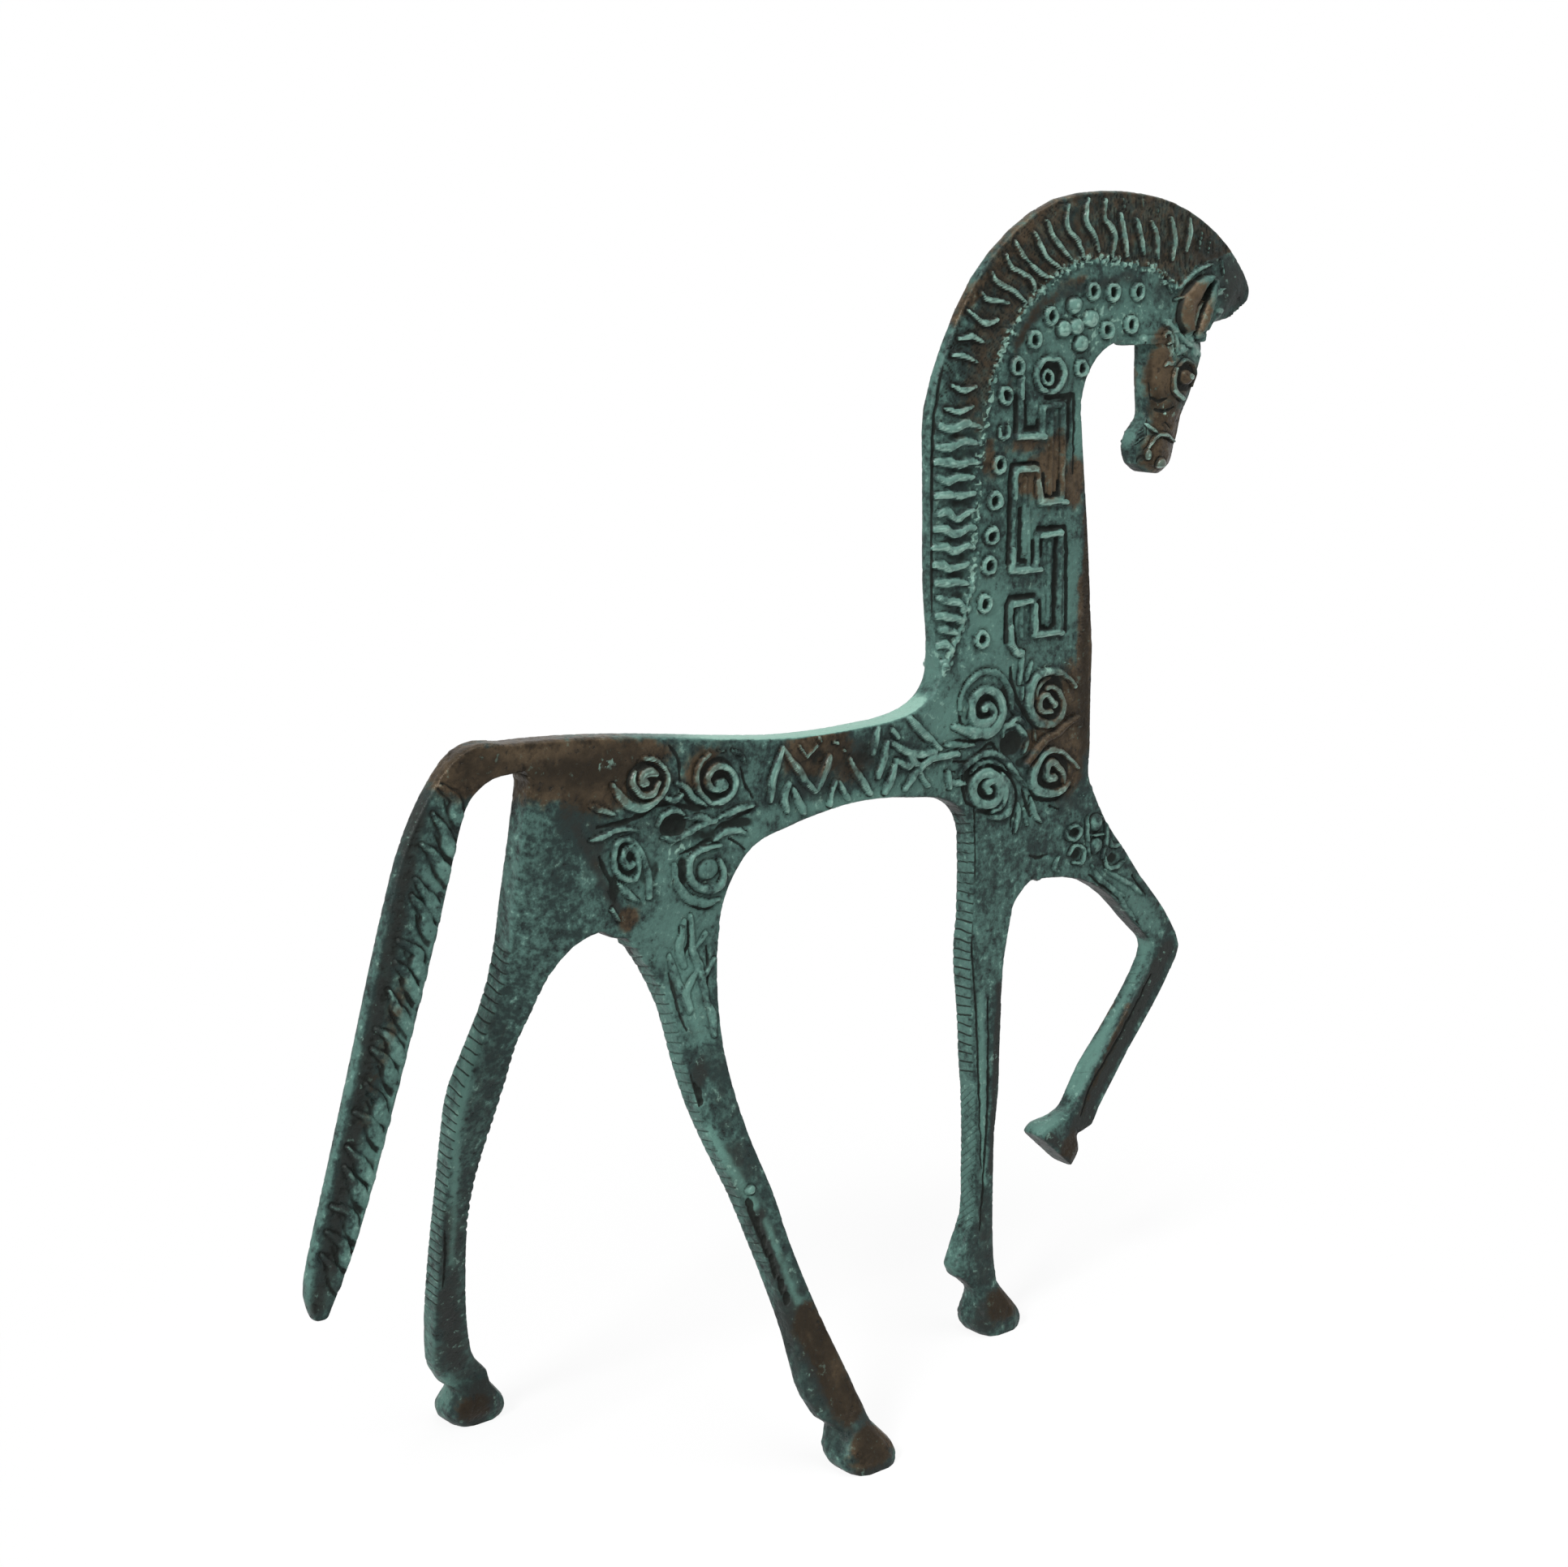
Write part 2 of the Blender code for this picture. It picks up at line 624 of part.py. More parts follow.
def main():
    for old in list(bpy.data.objects):
        bpy.data.objects.remove(old)
    horse = new_collection("bronze_horse")
    cutters = new_collection("joint_cutters")
    verdigris = cast_material("verdigris_bronze", VERDIGRIS, 0.62, 0.35)
    bronze = cast_material("worn_bronze", BRONZE, 0.5, 0.6)
    pin_bronze = cast_material("pin_bronze", PIN_BRONZE, 0.4, 1.0)

    body = make_body(horse, verdigris)
    limbs = {
        "neck": make_neck(horse, verdigris),
        "tail": make_tail(horse, verdigris),
        "left_hind": make_left_hind(horse, verdigris),
        "right_hind": make_right_hind(horse, verdigris),
        "left_fore": make_left_fore(horse, verdigris),
        "right_fore": make_right_fore(horse, verdigris),
    }
    head = make_head(horse, bronze)

    for joint, limb in limbs.items():
        trim_at_seat(body, joint, cutters)
        drill_seat(body, joint, cutters)
        drill_seat(limb, joint, cutters)
    trim_at_seat(limbs["neck"], "head", cutters)
    drill_seat(limbs["neck"], "head", cutters)
    drill_seat(head, "head", cutters)
    for joint in SEATS:
        joint_dowels(joint, horse, pin_bronze)


main()
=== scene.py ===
"""Looks of the cast bronze horse: chased and patinated skins over the castings, and the stage.

Lengths are metres in the frame's own axes: the horse faces +X and its left side is +Y.
The ornament is drawn on the plate plane in millimetres (x along the horse, z up) and is cast
on both faces.
"""

import itertools
import math

import bmesh
import bpy
import numpy as np
from bpy.props import FloatProperty, FloatVectorProperty, IntProperty, PointerProperty
from mathutils import Matrix, Vector


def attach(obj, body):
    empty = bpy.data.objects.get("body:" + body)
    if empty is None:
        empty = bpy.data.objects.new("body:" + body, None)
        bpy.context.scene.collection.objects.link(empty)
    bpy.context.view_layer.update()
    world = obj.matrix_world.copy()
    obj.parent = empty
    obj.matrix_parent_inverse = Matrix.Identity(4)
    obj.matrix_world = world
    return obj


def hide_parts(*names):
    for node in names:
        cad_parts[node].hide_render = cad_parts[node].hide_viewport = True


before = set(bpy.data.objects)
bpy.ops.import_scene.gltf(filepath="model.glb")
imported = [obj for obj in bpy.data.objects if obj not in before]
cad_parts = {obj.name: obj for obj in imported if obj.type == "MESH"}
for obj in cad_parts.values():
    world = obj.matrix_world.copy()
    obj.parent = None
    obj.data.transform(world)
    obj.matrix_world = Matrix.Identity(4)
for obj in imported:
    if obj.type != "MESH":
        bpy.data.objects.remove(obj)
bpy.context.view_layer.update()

bl_info = {
    "name": "Cast Bronze Horse",
    "version": (1, 0, 0),
    "blender": (4, 5, 0),
    "location": "View3D > Sidebar > Horse",
    "description": "Chases, patinates and lights the castings of a bronze horse",
    "category": "Object",
}

MM = 0.001

# The ornament was drawn on a sheet at this depth, as seen from this point, in millimetres.
SHEET_Y = -3.0
DRAWN_FROM = (-375.7, -440.6, 270.4)

# Numbers that scramble a lattice point and a seed into noise.
LATTICE_KEYS = np.array((73856093, 19349663, 83492791))
SCRAMBLE_KEY = 1274126177
SEED_KEY = 7919
SEED_SHIFT = 31.7
NOISE_TOP = 65535

# How far the chaser's hand wanders over long and over short stretches, and their lengths, in millimetres.
HAND_SWAY = 0.55
SWAY_LENGTH = 2.6
HAND_NICK = 0.3
NICK_LENGTH = 0.9

# Section of a ridge: 2 is a half round, and more is flatter on top.
RIDGE_ROUNDING = 2.6
# A ridge with less than this half width has its pale crest, worn verdigris with a painted highlight,
# nearly right across, in millimetres.
THIN_RIDGE = 0.8
# What the smoothing takes off an edge, in millimetres.
EDGE_GAIN = 0.2
# How far the ground beside a ridge is darkened, in millimetres.
SHELTER = 2.0

# How deep a skin's end dives at a joint, in millimetres.
JOINT_DIVE = 0.4
# A joint's face lies across the pins, and near their middle both along them and around them, in metres.
FACE_SQUARE = 0.99
FACE_DEPTH = 0.6 * MM
FACE_REACH = 30 * MM
JOINT_MARGIN = 0.3 * MM
WELD_DISTANCE = 0.001 * MM

# How much browner the head is all over.
HEAD_BROWNNESS = 0.05

# Softboxes in metres: where they stand, how wide they are, and the point that they face.
KEY_LAMP_PLACE = (-1.15, -0.42, 1.05)
KEY_LAMP_SIZE = 0.35
TOP_LAMP_PLACE = (0.1, -0.32, 1.3)
TOP_LAMP_SIZE = 1.0
LAMP_AIM = (0, 0, 0.13)
# Film width of the camera in millimetres.
FILM_WIDTH = 36.0
# Share of plain white in what the floor shows by the horse, and where the rest fades out, in metres.
WHITE_NEAR = 0.88
FADE_FROM = 0.1
FADE_TO = 0.2

# How many pins cross each joint. They give the joint's plane.
JOINT_PINS = {
    "neck": 2, "head": 2, "tail": 1, "left_hind": 2, "right_hind": 2, "left_fore": 2, "right_fore": 2,
}

# Neck: stamped rings, a flower of balls, a target and a key meander.
NECK_RINGS = (
    (77.0, 247.6), (83.6, 247.2), (92.0, 247.2), (63.4, 242.3), (58.3, 237.4), (53.1, 231.6),
    (49.7, 225.2), (48.0, 209.6), (46.9, 201.5), (46.1, 193.6), (45.4, 186.9), (44.2, 178.4),
    (43.5, 170.1), (82.0, 238.7), (89.9, 239.7), (73.7, 230.2),
)
OPEN_RING = (49.4, 217.2)
NECK_BALLS = ((71.1, 244.5), (76.7, 241.4), (72.0, 239.7), (67.7, 239.3), (73.4, 235.8))
TARGET = (62.9, 228.6)
TARGET_RIM = (63.7, 229.1)
MEANDER = (
    (54.6, 229.4), (54.6, 216.0), (61.7, 215.8), (61.6, 221.9), (68.3, 222.2), (68.4, 200.2),
    (61.2, 200.0), (60.7, 208.1), (53.0, 208.2), (52.8, 185.0), (60.4, 184.9), (60.4, 192.7),
    (68.1, 192.7), (68.3, 169.4), (60.1, 169.3), (59.8, 177.5), (52.6, 177.5), (52.5, 168.2),
    (53.6, 166.6), (55.8, 165.7),
)
PALE_BARS = (
    ((54.4, 228.8), (54.6, 224.6)), ((53.8, 215.7), (62.1, 215.3)), ((53.0, 207.4), (53.0, 202.0)),
    ((60.6, 205.0), (61.1, 200.6), (69.6, 199.6)), ((53.8, 208.1), (59.8, 208.1)),
    ((52.7, 190.0), (52.6, 185.2), (61.8, 184.6)), ((61.6, 192.6), (67.8, 192.6)),
    ((60.2, 176.4), (60.2, 169.4), (69.2, 169.2)), ((53.4, 177.4), (58.6, 177.4)),
    ((52.4, 172.0), (52.6, 168.2), (54.6, 166.2)),
)
MEANDER_CHANNELS = (
    ((62.7, 224.2), (70.8, 223.9), (70.1, 222.5), (70.0, 214.5), (69.0, 213.0), (69.0, 205.2)),
    ((61.1, 194.1), (69.9, 193.7), (70.4, 191.5), (70.8, 169.3)),
    ((60.9, 208.9), (52.4, 209.3), (51.8, 207.0), (51.7, 187.3)),
    ((55.2, 198.9), (55.0, 187.3), (58.9, 186.5), (59.3, 188.0), (59.2, 191.2)),
    ((60.3, 178.7), (52.2, 178.9), (51.2, 177.2), (51.3, 168.6)),
    ((53.9, 176.0), (53.6, 171.6), (54.6, 167.6)), ((61.9, 177.1), (62.2, 171.1), (66.2, 170.9)),
    ((62.1, 191.9), (62.0, 187.9)),
    ((56.0, 225.4), (56.0, 221.5), (56.3, 217.4), (60.1, 217.2), (60.2, 219.0)),
    ((53.2, 224.6), (53.2, 217.0)), ((62.3, 206.6), (62.5, 201.6), (67.2, 201.4), (67.2, 204.4)),
    ((66.9, 191.6), (66.6, 181.1), (66.9, 171.4)),
)
MEANDER_FLOORS = (
    ((57.9, 186.4), (57.6, 199.0)), ((64.7, 171.5), (64.9, 190.5)), ((64.6, 202.0), (64.8, 220.0)),
    ((56.6, 189.0), (56.6, 206.0)), ((56.3, 169.5), (56.3, 175.8)),
)
MEANDER_BUD = (55.4, 165.8)
NECK_RIM_LINE = ((65.4, 224.2), (71.0, 224.3), (71.9, 222.0), (72.0, 206.0))

# Mane: a rope border, wavy locks over the crest and bars down the back of the neck.
MANE_ROPE = (
    (28.0, 159.8), (31.0, 163.4), (34.3, 168.2), (37.6, 175.0), (39.6, 181.0), (40.6, 188.0),
    (41.0, 195.0), (41.6, 204.0), (42.4, 214.0), (44.4, 222.0), (45.8, 229.0), (47.5, 233.5),
    (50.0, 237.6), (52.5, 241.0), (55.5, 244.3), (58.5, 247.0), (62.5, 249.6), (66.5, 252.0),
    (70.0, 253.8), (75.0, 254.8), (80.0, 254.8), (85.0, 254.4), (90.0, 253.5), (97.5, 252.4),
    (102.5, 249.6), (106.2, 248.0),
)
MANE_FIELD = MANE_ROPE + (
    (112.0, 252.6), (126.0, 256.0), (118.0, 274.0), (80.0, 280.0), (40.0, 270.0), (22.0, 240.0),
    (18.0, 160.0),
)
MANE_LOCKS = (
    ((108.2, 256.0), (109.2, 260.0), (109.0, 264.0)), ((103.4, 254.5), (104.0, 259.0), (102.4, 264.2)),
    ((98.2, 254.6), (98.0, 259.0), (95.8, 263.3)), ((93.6, 255.6), (92.3, 260.4), (90.8, 263.8)),
    ((88.1, 255.4), (86.6, 261.0), (85.2, 264.9)),
    ((83.0, 255.4), (83.6, 259.4), (82.4, 262.0), (80.1, 264.4), (80.3, 268.2)),
    ((78.6, 256.8), (77.0, 260.0), (75.0, 262.2), (74.0, 265.0), (74.6, 268.4)),
    ((73.6, 255.4), (72.0, 259.0), (69.2, 261.0), (67.8, 264.0), (68.3, 267.2)),
    ((69.8, 255.0), (66.5, 257.6), (63.5, 260.5), (61.3, 263.6)),
    ((66.6, 252.8), (62.6, 255.0), (60.0, 257.6), (57.7, 261.1)),
    ((62.2, 250.8), (59.0, 252.6), (56.0, 254.8)), ((55.4, 255.2), (53.6, 256.6), (52.0, 259.0)),
    ((58.2, 248.0), (57.2, 250.4), (53.6, 252.5), (50.8, 253.6), (49.2, 256.2)),
    ((55.4, 245.6), (51.0, 248.5), (46.2, 250.4), (44.7, 252.6)),
    ((50.0, 245.6), (43.8, 246.5), (41.4, 248.2)), ((46.8, 242.2), (43.0, 241.5), (37.6, 244.4)),
    ((42.6, 237.2), (38.6, 238.6), (34.8, 238.4)), ((40.6, 233.0), (36.2, 234.6), (33.0, 234.4)),
    ((40.4, 227.6), (36.6, 226.8), (33.2, 228.0)), ((39.6, 223.2), (35.6, 222.2), (31.4, 223.2)),
)
MANE_TIPS = (
    ((86.2, 268.4), (86.5, 266.4)), ((92.4, 268.2), (92.8, 266.2)), ((98.0, 267.0), (97.8, 265.0)),
    ((115.6, 255.8), (116.6, 259.0)), ((119.4, 246.0), (121.6, 247.0)), ((112.6, 256.6), (113.4, 260.6)),
)
MANE_BARS = (
    ((29.6, 219.4), (33.6, 218.6), (37.4, 219.6), (41.6, 218.6)),
    ((28.8, 214.8), (32.6, 214.4), (36.6, 215.6), (41.6, 214.8)),
    ((28.4, 211.3), (32.0, 211.3), (35.4, 210.3), (39.4, 211.0), (41.4, 210.6)),
    ((29.2, 207.8), (32.4, 206.9), (35.2, 207.7), (39.8, 207.3)),
    ((28.5, 203.9), (33.8, 203.9), (35.6, 203.4), (40.4, 203.8)),
    ((29.4, 199.7), (32.0, 200.2), (34.8, 198.4), (37.4, 199.2), (40.0, 199.9)),
    ((28.5, 196.5), (31.6, 196.4), (34.6, 194.9), (38.4, 196.2), (40.5, 195.9)),
    ((28.3, 192.4), (31.4, 192.3), (33.8, 191.2), (36.4, 191.4), (38.4, 192.1), (40.3, 191.6)),
    ((28.3, 188.5), (31.0, 188.2), (33.0, 187.3), (38.8, 188.0)),
    ((28.8, 184.6), (32.0, 184.2), (36.0, 184.0), (38.4, 183.4)),
    ((29.9, 181.0), (32.4, 180.1), (36.0, 179.4), (37.8, 178.2)),
    ((29.4, 176.9), (33.8, 176.0), (37.2, 175.4)),
    ((30.6, 173.6), (33.0, 173.2), (35.6, 172.4)), ((29.8, 170.4), (32.4, 170.0), (34.4, 168.6)),
    ((29.4, 165.8), (31.4, 165.4), (33.0, 164.6)),
)
MANE_BACK_LINE = ((27.6, 168.0), (27.6, 190.0), (27.4, 206.0), (28.2, 222.0), (31.0, 236.0))

# Head: swellings (x, z, half width, half height, rise), then ear, eye, bridle and muzzle.
HEAD_DOMES = (
    (100.6, 229.0, 7.0, 11.0, 0.9), (108.4, 226.6, 6.0, 6.5, 0.6), (101.0, 208.6, 7.5, 6.5, 0.9),
    (91.4, 211.6, 4.5, 5.0, 0.5),
)
EAR_BACK = ((110.2, 237.8), (108.8, 241.2), (110.4, 245.2), (113.6, 248.2), (117.2, 250.0))
EAR_FRONT = ((112.8, 236.2), (114.8, 239.6), (116.4, 243.2), (117.8, 246.6), (118.4, 249.2))
EAR_SLIT = ((111.6, 238.2), (113.0, 241.2), (115.0, 245.0), (117.4, 249.4))
EAR_LINING = ((111.4, 238.4), (112.2, 240.2), (113.4, 242.6), (114.6, 244.6))
EAR_FRINGE = (
    ((105.2, 246.8), (108.6, 249.4), (113.0, 251.8), (117.6, 253.0)), ((101.4, 249.6), (103.6, 246.8)),
    ((104.6, 245.0), (107.4, 245.6)), ((120.6, 253.8), (121.6, 250.6)), ((118.8, 246.6), (122.4, 247.2)),
)
HEAD_BLOOMS = (
    (112.8, 233.0, 1.6, 1.8), (107.6, 233.6, 1.9, 1.1), (105.6, 237.4, 1.3, 1.5), (120.8, 242.0, 1.6, 0.8),
    (120.4, 246.2, 1.9, 0.9), (94.6, 236.4, 1.9, 1.3), (102.6, 239.8, 2.2, 0.9), (109.4, 236.0, 0.9, 1.3),
)
HEAD_CRACKS = (
    ((92.4, 206.2), (94.4, 208.4), (97.6, 208.0)), ((97.6, 222.4), (100.4, 221.2), (103.4, 222.0)),
    ((96.4, 226.0), (97.4, 222.0)), ((99.0, 219.4), (102.6, 219.0), (105.8, 219.8)),
    ((105.4, 233.0), (108.6, 231.6)), ((106.2, 241.6), (107.8, 238.4), (110.8, 236.4)),
    ((96.0, 217.8), (96.6, 213.6)), ((103.0, 216.4), (104.8, 214.6)),
)
EYE = (108.7, 226.6)
PUPIL = (109.7, 226.9)
EYE_BAG = ((105.6, 229.0), (104.9, 226.4), (105.6, 223.6), (108.2, 221.7))
EYE_LID = ((106.2, 229.4), (108.6, 230.6), (111.2, 229.8), (112.4, 227.6), (111.4, 224.4))
CHEEK_CURL = ((101.1, 236.4), (102.2, 237.4), (103.6, 236.6), (103.8, 235.2), (102.4, 234.8))
BRIDLE = (
    ((101.6, 239.6), (104.6, 238.4), (105.6, 235.6), (106.6, 232.6), (109.4, 233.2)),
    ((104.6, 238.4), (107.2, 236.6), (109.6, 234.8), (112.4, 234.0)),
    ((110.2, 236.6), (112.2, 233.8), (114.4, 231.6)),
)
CHEEK_WAVE = ((101.4, 229.7), (102.6, 230.3), (103.6, 229.8), (105.0, 230.6))
MUZZLE_LINES = (
    ((95.6, 216.2), (97.6, 215.5), (99.9, 214.2)),
    ((97.0, 210.4), (99.0, 212.5), (101.3, 213.6), (103.8, 212.9), (105.9, 211.6)),
)
MUZZLE_BALLS = ((100.8, 206.7, 1.5, 1.4), (96.7, 209.0, 1.1, 1.4))
CHIN = (90.3, 213.4)
CHIN_CREASES = (
    ((91.4, 211.4), (95.4, 213.0)), ((91.6, 213.2), (95.2, 214.8)), ((92.4, 215.0), (95.0, 216.2)),
)
JAW_LINE = ((95.2, 236.0), (95.2, 230.0), (95.0, 224.0), (94.8, 219.6))

# Shoulder: four whorls round a pit.
PIT_LIDS = (
    (
        (50.6, 146.6), (50.9, 148.4), (53.4, 149.2), (56.0, 148.2), (58.0, 146.0), (58.6, 143.6),
        (57.4, 142.0),
    ),
    ((52.6, 149.6), (55.2, 150.4), (58.0, 148.6)),
)
WHORL_UPPER_BACK = (
    (44.2, 154.0), (45.5, 154.7), (47.5, 153.6), (47.3, 151.8), (45.1, 150.5), (42.0, 151.1),
    (40.6, 153.4), (41.0, 156.4), (43.5, 158.2), (47.3, 157.8), (49.7, 155.7), (50.4, 152.6),
    (48.9, 149.9), (46.4, 148.5), (42.8, 148.4), (38.9, 149.6), (35.2, 150.6),
)
UPPER_BACK_ARM = (
    (37.2, 153.4), (37.0, 156.4), (38.4, 159.4), (41.0, 161.3), (45.1, 162.5), (48.9, 161.7),
    (51.6, 159.0), (53.2, 155.7), (53.7, 152.6), (56.0, 150.8),
)
WHORL_UPPER_FRONT = (
    (64.6, 156.3), (66.2, 156.5), (68.3, 155.4), (69.9, 153.1), (70.4, 151.2), (69.6, 149.0),
    (67.4, 147.7), (65.0, 147.6), (62.4, 148.5), (60.3, 150.6), (59.2, 153.1), (59.2, 156.0),
    (60.4, 158.4), (62.6, 159.8), (65.8, 160.2), (69.6, 159.2), (71.9, 157.9), (74.2, 155.7),
)
UPPER_FRONT_HOOK = (
    (67.3, 152.2), (66.2, 153.6), (65.0, 154.6), (63.4, 154.8), (62.2, 153.5), (62.6, 151.7),
    (64.2, 150.6), (66.2, 150.7),
)
UPPER_FRONT_TIP = (74.2, 155.6)
UPPER_FRONT_ARM = ((61.4, 154.2), (61.7, 156.2), (63.5, 158.0), (66.0, 158.8))
WHORL_LOWER_BACK = (
    (46.0, 134.3), (45.2, 136.0), (47.4, 136.7), (49.4, 135.5), (49.8, 133.0), (48.2, 131.2),
    (45.2, 131.3), (42.4, 132.8), (41.3, 135.0), (41.9, 137.2), (43.6, 138.5), (46.0, 138.6),
    (48.2, 137.8), (50.2, 136.2), (51.4, 134.0), (51.4, 131.6), (50.0, 129.8), (47.4, 129.2),
)
LOWER_BACK_ARMS = (
    ((37.4, 139.4), (39.3, 141.0), (42.0, 142.3), (45.0, 143.2), (48.0, 142.9), (50.6, 141.6),
     (53.0, 139.4), (55.5, 136.8), (58.4, 134.2)),
    ((40.6, 139.2), (43.0, 140.9), (46.0, 141.2), (49.0, 140.3), (51.6, 138.4)),
    ((50.4, 137.6), (52.4, 135.4), (53.4, 132.6), (53.2, 129.6), (51.6, 127.6), (47.2, 127.8)),
)
WHORL_LOWER_FRONT = (
    (67.6, 134.4), (66.2, 134.4), (65.1, 135.8), (65.7, 137.8), (67.1, 138.3), (68.7, 137.4),
    (70.1, 136.0), (70.8, 134.5), (70.9, 133.0),
)
LOWER_FRONT_ARM = (
    (72.8, 132.8), (70.8, 131.3), (69.1, 130.6), (66.2, 130.6), (63.5, 131.5), (61.2, 133.3),
    (60.5, 135.1), (61.2, 137.4), (63.1, 139.6), (65.1, 140.9), (67.4, 141.1), (70.1, 140.3),
    (72.4, 138.9), (74.4, 137.2), (76.0, 135.7),
)
SHOULDER_RIDGE = ((58.6, 138.6), (60.4, 140.8), (64.0, 143.6), (68.6, 145.2), (72.6, 147.2), (75.4, 148.4))
SHOULDER_LEAVES = (
    ((56.6, 165.4), (56.2, 161.0), (55.6, 158.0)), ((59.8, 163.2), (58.6, 160.4), (58.0, 158.8)),
    ((56.8, 157.4), (57.0, 154.6)), ((61.0, 147.0), (61.2, 144.4)),
    ((32.4, 147.0), (37.0, 146.4), (41.6, 145.8)), ((32.6, 144.8), (37.2, 144.2)),
    ((33.2, 138.6), (36.4, 137.6), (39.0, 137.0)),
    ((60.2, 130.6), (61.6, 127.0), (63.8, 124.4)), ((56.0, 130.0), (56.4, 126.4), (55.2, 123.0)),
    ((58.0, 128.2), (59.2, 124.0)),
)
CHEST_FLECKS = (
    ((72.6, 143.3), (76.0, 143.2)), ((75.2, 145.8), (77.2, 145.6)), ((66.0, 127.4), (68.6, 126.8)),
    ((73.2, 130.4), (75.4, 131.2)), ((76.2, 129.0), (78.2, 128.6)), ((70.2, 162.0), (73.2, 160.8)),
)

# Haunch: four looser whorls round a pit, with leaf tips to both sides.
HAUNCH_LIDS = (
    ((-49.4, 140.4), (-47.8, 142.2), (-45.0, 143.2), (-42.0, 142.0)),
    ((-48.0, 137.6), (-45.0, 136.6), (-42.0, 137.4), (-38.2, 138.6), (-33.6, 139.2)),
    ((-41.9, 141.3), (-38.4, 140.6), (-33.8, 139.3)),
)
HAUNCH_BACK_COMMA = ((-50.0, 151.6), (-51.2, 152.2), (-53.0, 151.7), (-53.4, 150.4), (-52.2, 150.2))
HAUNCH_BACK_COIL = (
    (-49.0, 149.7), (-50.3, 147.8), (-52.4, 147.5), (-54.6, 148.8), (-55.8, 150.8), (-55.2, 153.0),
)
HAUNCH_BACK_ARM = (
    (-47.4, 152.6), (-46.6, 150.6), (-47.0, 148.4), (-48.6, 146.6), (-51.0, 145.2), (-53.6, 144.8),
    (-56.9, 146.3), (-59.2, 148.5), (-60.8, 150.8),
)
HAUNCH_BACK_TOP = ((-47.8, 152.8), (-49.2, 154.2), (-52.8, 155.5))
HAUNCH_FRONT_COIL = (
    (-33.4, 147.6), (-32.0, 147.6), (-31.3, 146.6), (-33.1, 145.9), (-35.4, 146.8), (-36.2, 148.9),
    (-34.2, 151.0), (-31.2, 150.6), (-28.9, 148.5), (-28.6, 145.8), (-30.4, 143.6), (-33.5, 143.2),
    (-36.5, 144.2), (-38.5, 146.9), (-38.9, 150.4), (-37.7, 152.7), (-35.7, 154.1),
)
HAUNCH_FRONT_TOP = (((-33.0, 154.5), (-31.0, 153.8)), ((-29.2, 153.9), (-26.9, 152.4), (-26.0, 150.6)))
HAUNCH_LOW_COIL = (
    (-55.8, 133.4), (-57.0, 132.9), (-58.4, 134.2), (-58.0, 136.2), (-56.2, 136.5), (-54.6, 134.6),
    (-54.2, 131.5), (-55.4, 129.6), (-57.4, 130.2), (-60.0, 132.3), (-60.8, 135.0), (-60.0, 137.7),
    (-57.7, 138.8), (-55.2, 137.4), (-53.2, 134.4), (-51.6, 129.4), (-51.8, 125.6),
)
HAUNCH_SQUARE_COIL = (
    (-32.8, 133.6), (-38.1, 133.2), (-40.8, 131.9), (-41.3, 129.2), (-39.6, 126.2), (-36.2, 124.5),
    (-32.7, 124.7), (-31.7, 127.3), (-32.8, 130.2),
)
HAUNCH_STONE = (-36.0, 128.8)
HAUNCH_SWEEP = ((-45.0, 131.4), (-44.2, 127.3), (-41.5, 123.6), (-37.0, 121.4), (-33.2, 121.8))
HAUNCH_LEAVES = (
    ((-66.4, 147.0), (-63.6, 146.0), (-60.6, 144.7)),
    ((-66.4, 139.9), (-62.3, 140.5), (-58.4, 141.3), (-54.4, 140.2)),
    ((-33.0, 139.7), (-28.2, 140.6), (-23.2, 141.1)), ((-34.4, 135.0), (-30.0, 136.4), (-25.6, 135.2)),
    ((-59.6, 129.6), (-57.2, 127.0), (-54.2, 124.8)), ((-61.4, 124.4), (-59.4, 121.8)),
    ((-47.4, 146.4), (-44.6, 145.2), (-42.6, 146.2)),
    ((-44.4, 149.0), (-41.6, 147.6), (-39.6, 144.8), (-36.4, 142.8)),
)

# Barrel: a zigzag band, and leaves towards the shoulder.
ZIGZAG = (
    ((-15.4, 152.6), (-17.8, 147.0), (-19.0, 141.4)),
    ((-15.4, 152.6), (-11.4, 147.6), (-9.0, 144.2), (-6.2, 141.8)),
    ((-13.6, 144.4), (-15.0, 141.4), (-14.2, 138.4)), ((-12.4, 143.0), (-10.6, 139.8), (-9.6, 137.6)),
    ((-5.6, 142.0), (-3.6, 145.4), (-1.8, 148.8)), ((-0.6, 143.0), (-2.2, 138.2)),
    ((0.4, 142.8), (3.4, 138.6)), ((3.8, 147.6), (5.8, 144.2), (7.6, 142.0), (9.8, 139.0)),
    ((12.0, 153.8), (11.2, 150.6), (10.6, 148.2)), ((14.8, 150.2), (13.6, 146.0), (12.2, 142.4)),
    ((17.2, 144.4), (16.0, 141.4), (14.2, 138.4)),
    ((16.0, 149.8), (20.2, 147.4), (24.6, 146.0), (29.4, 145.8)),
    ((17.6, 145.4), (20.6, 143.8), (22.0, 143.6)), ((20.8, 147.0), (22.6, 144.6), (24.6, 143.4)),
    ((20.2, 138.6), (24.6, 142.6), (29.6, 144.6), (36.6, 144.2)), ((24.6, 141.6), (27.2, 138.2)),
    ((20.6, 155.6), (23.6, 152.6), (27.4, 149.2), (30.8, 146.4)), ((18.0, 150.6), (16.4, 152.4)),
    ((33.6, 140.6), (34.0, 137.0)),
)
BARREL_DROPS = (
    ((-10.6, 152.4), (-8.6, 149.6)), ((-8.6, 149.6), (-5.8, 151.8)), ((-5.2, 153.6), (-4.6, 152.8)),
    ((-0.9, 151.8), (0.3, 151.6)), ((2.0, 150.0), (2.4, 149.6)),
)

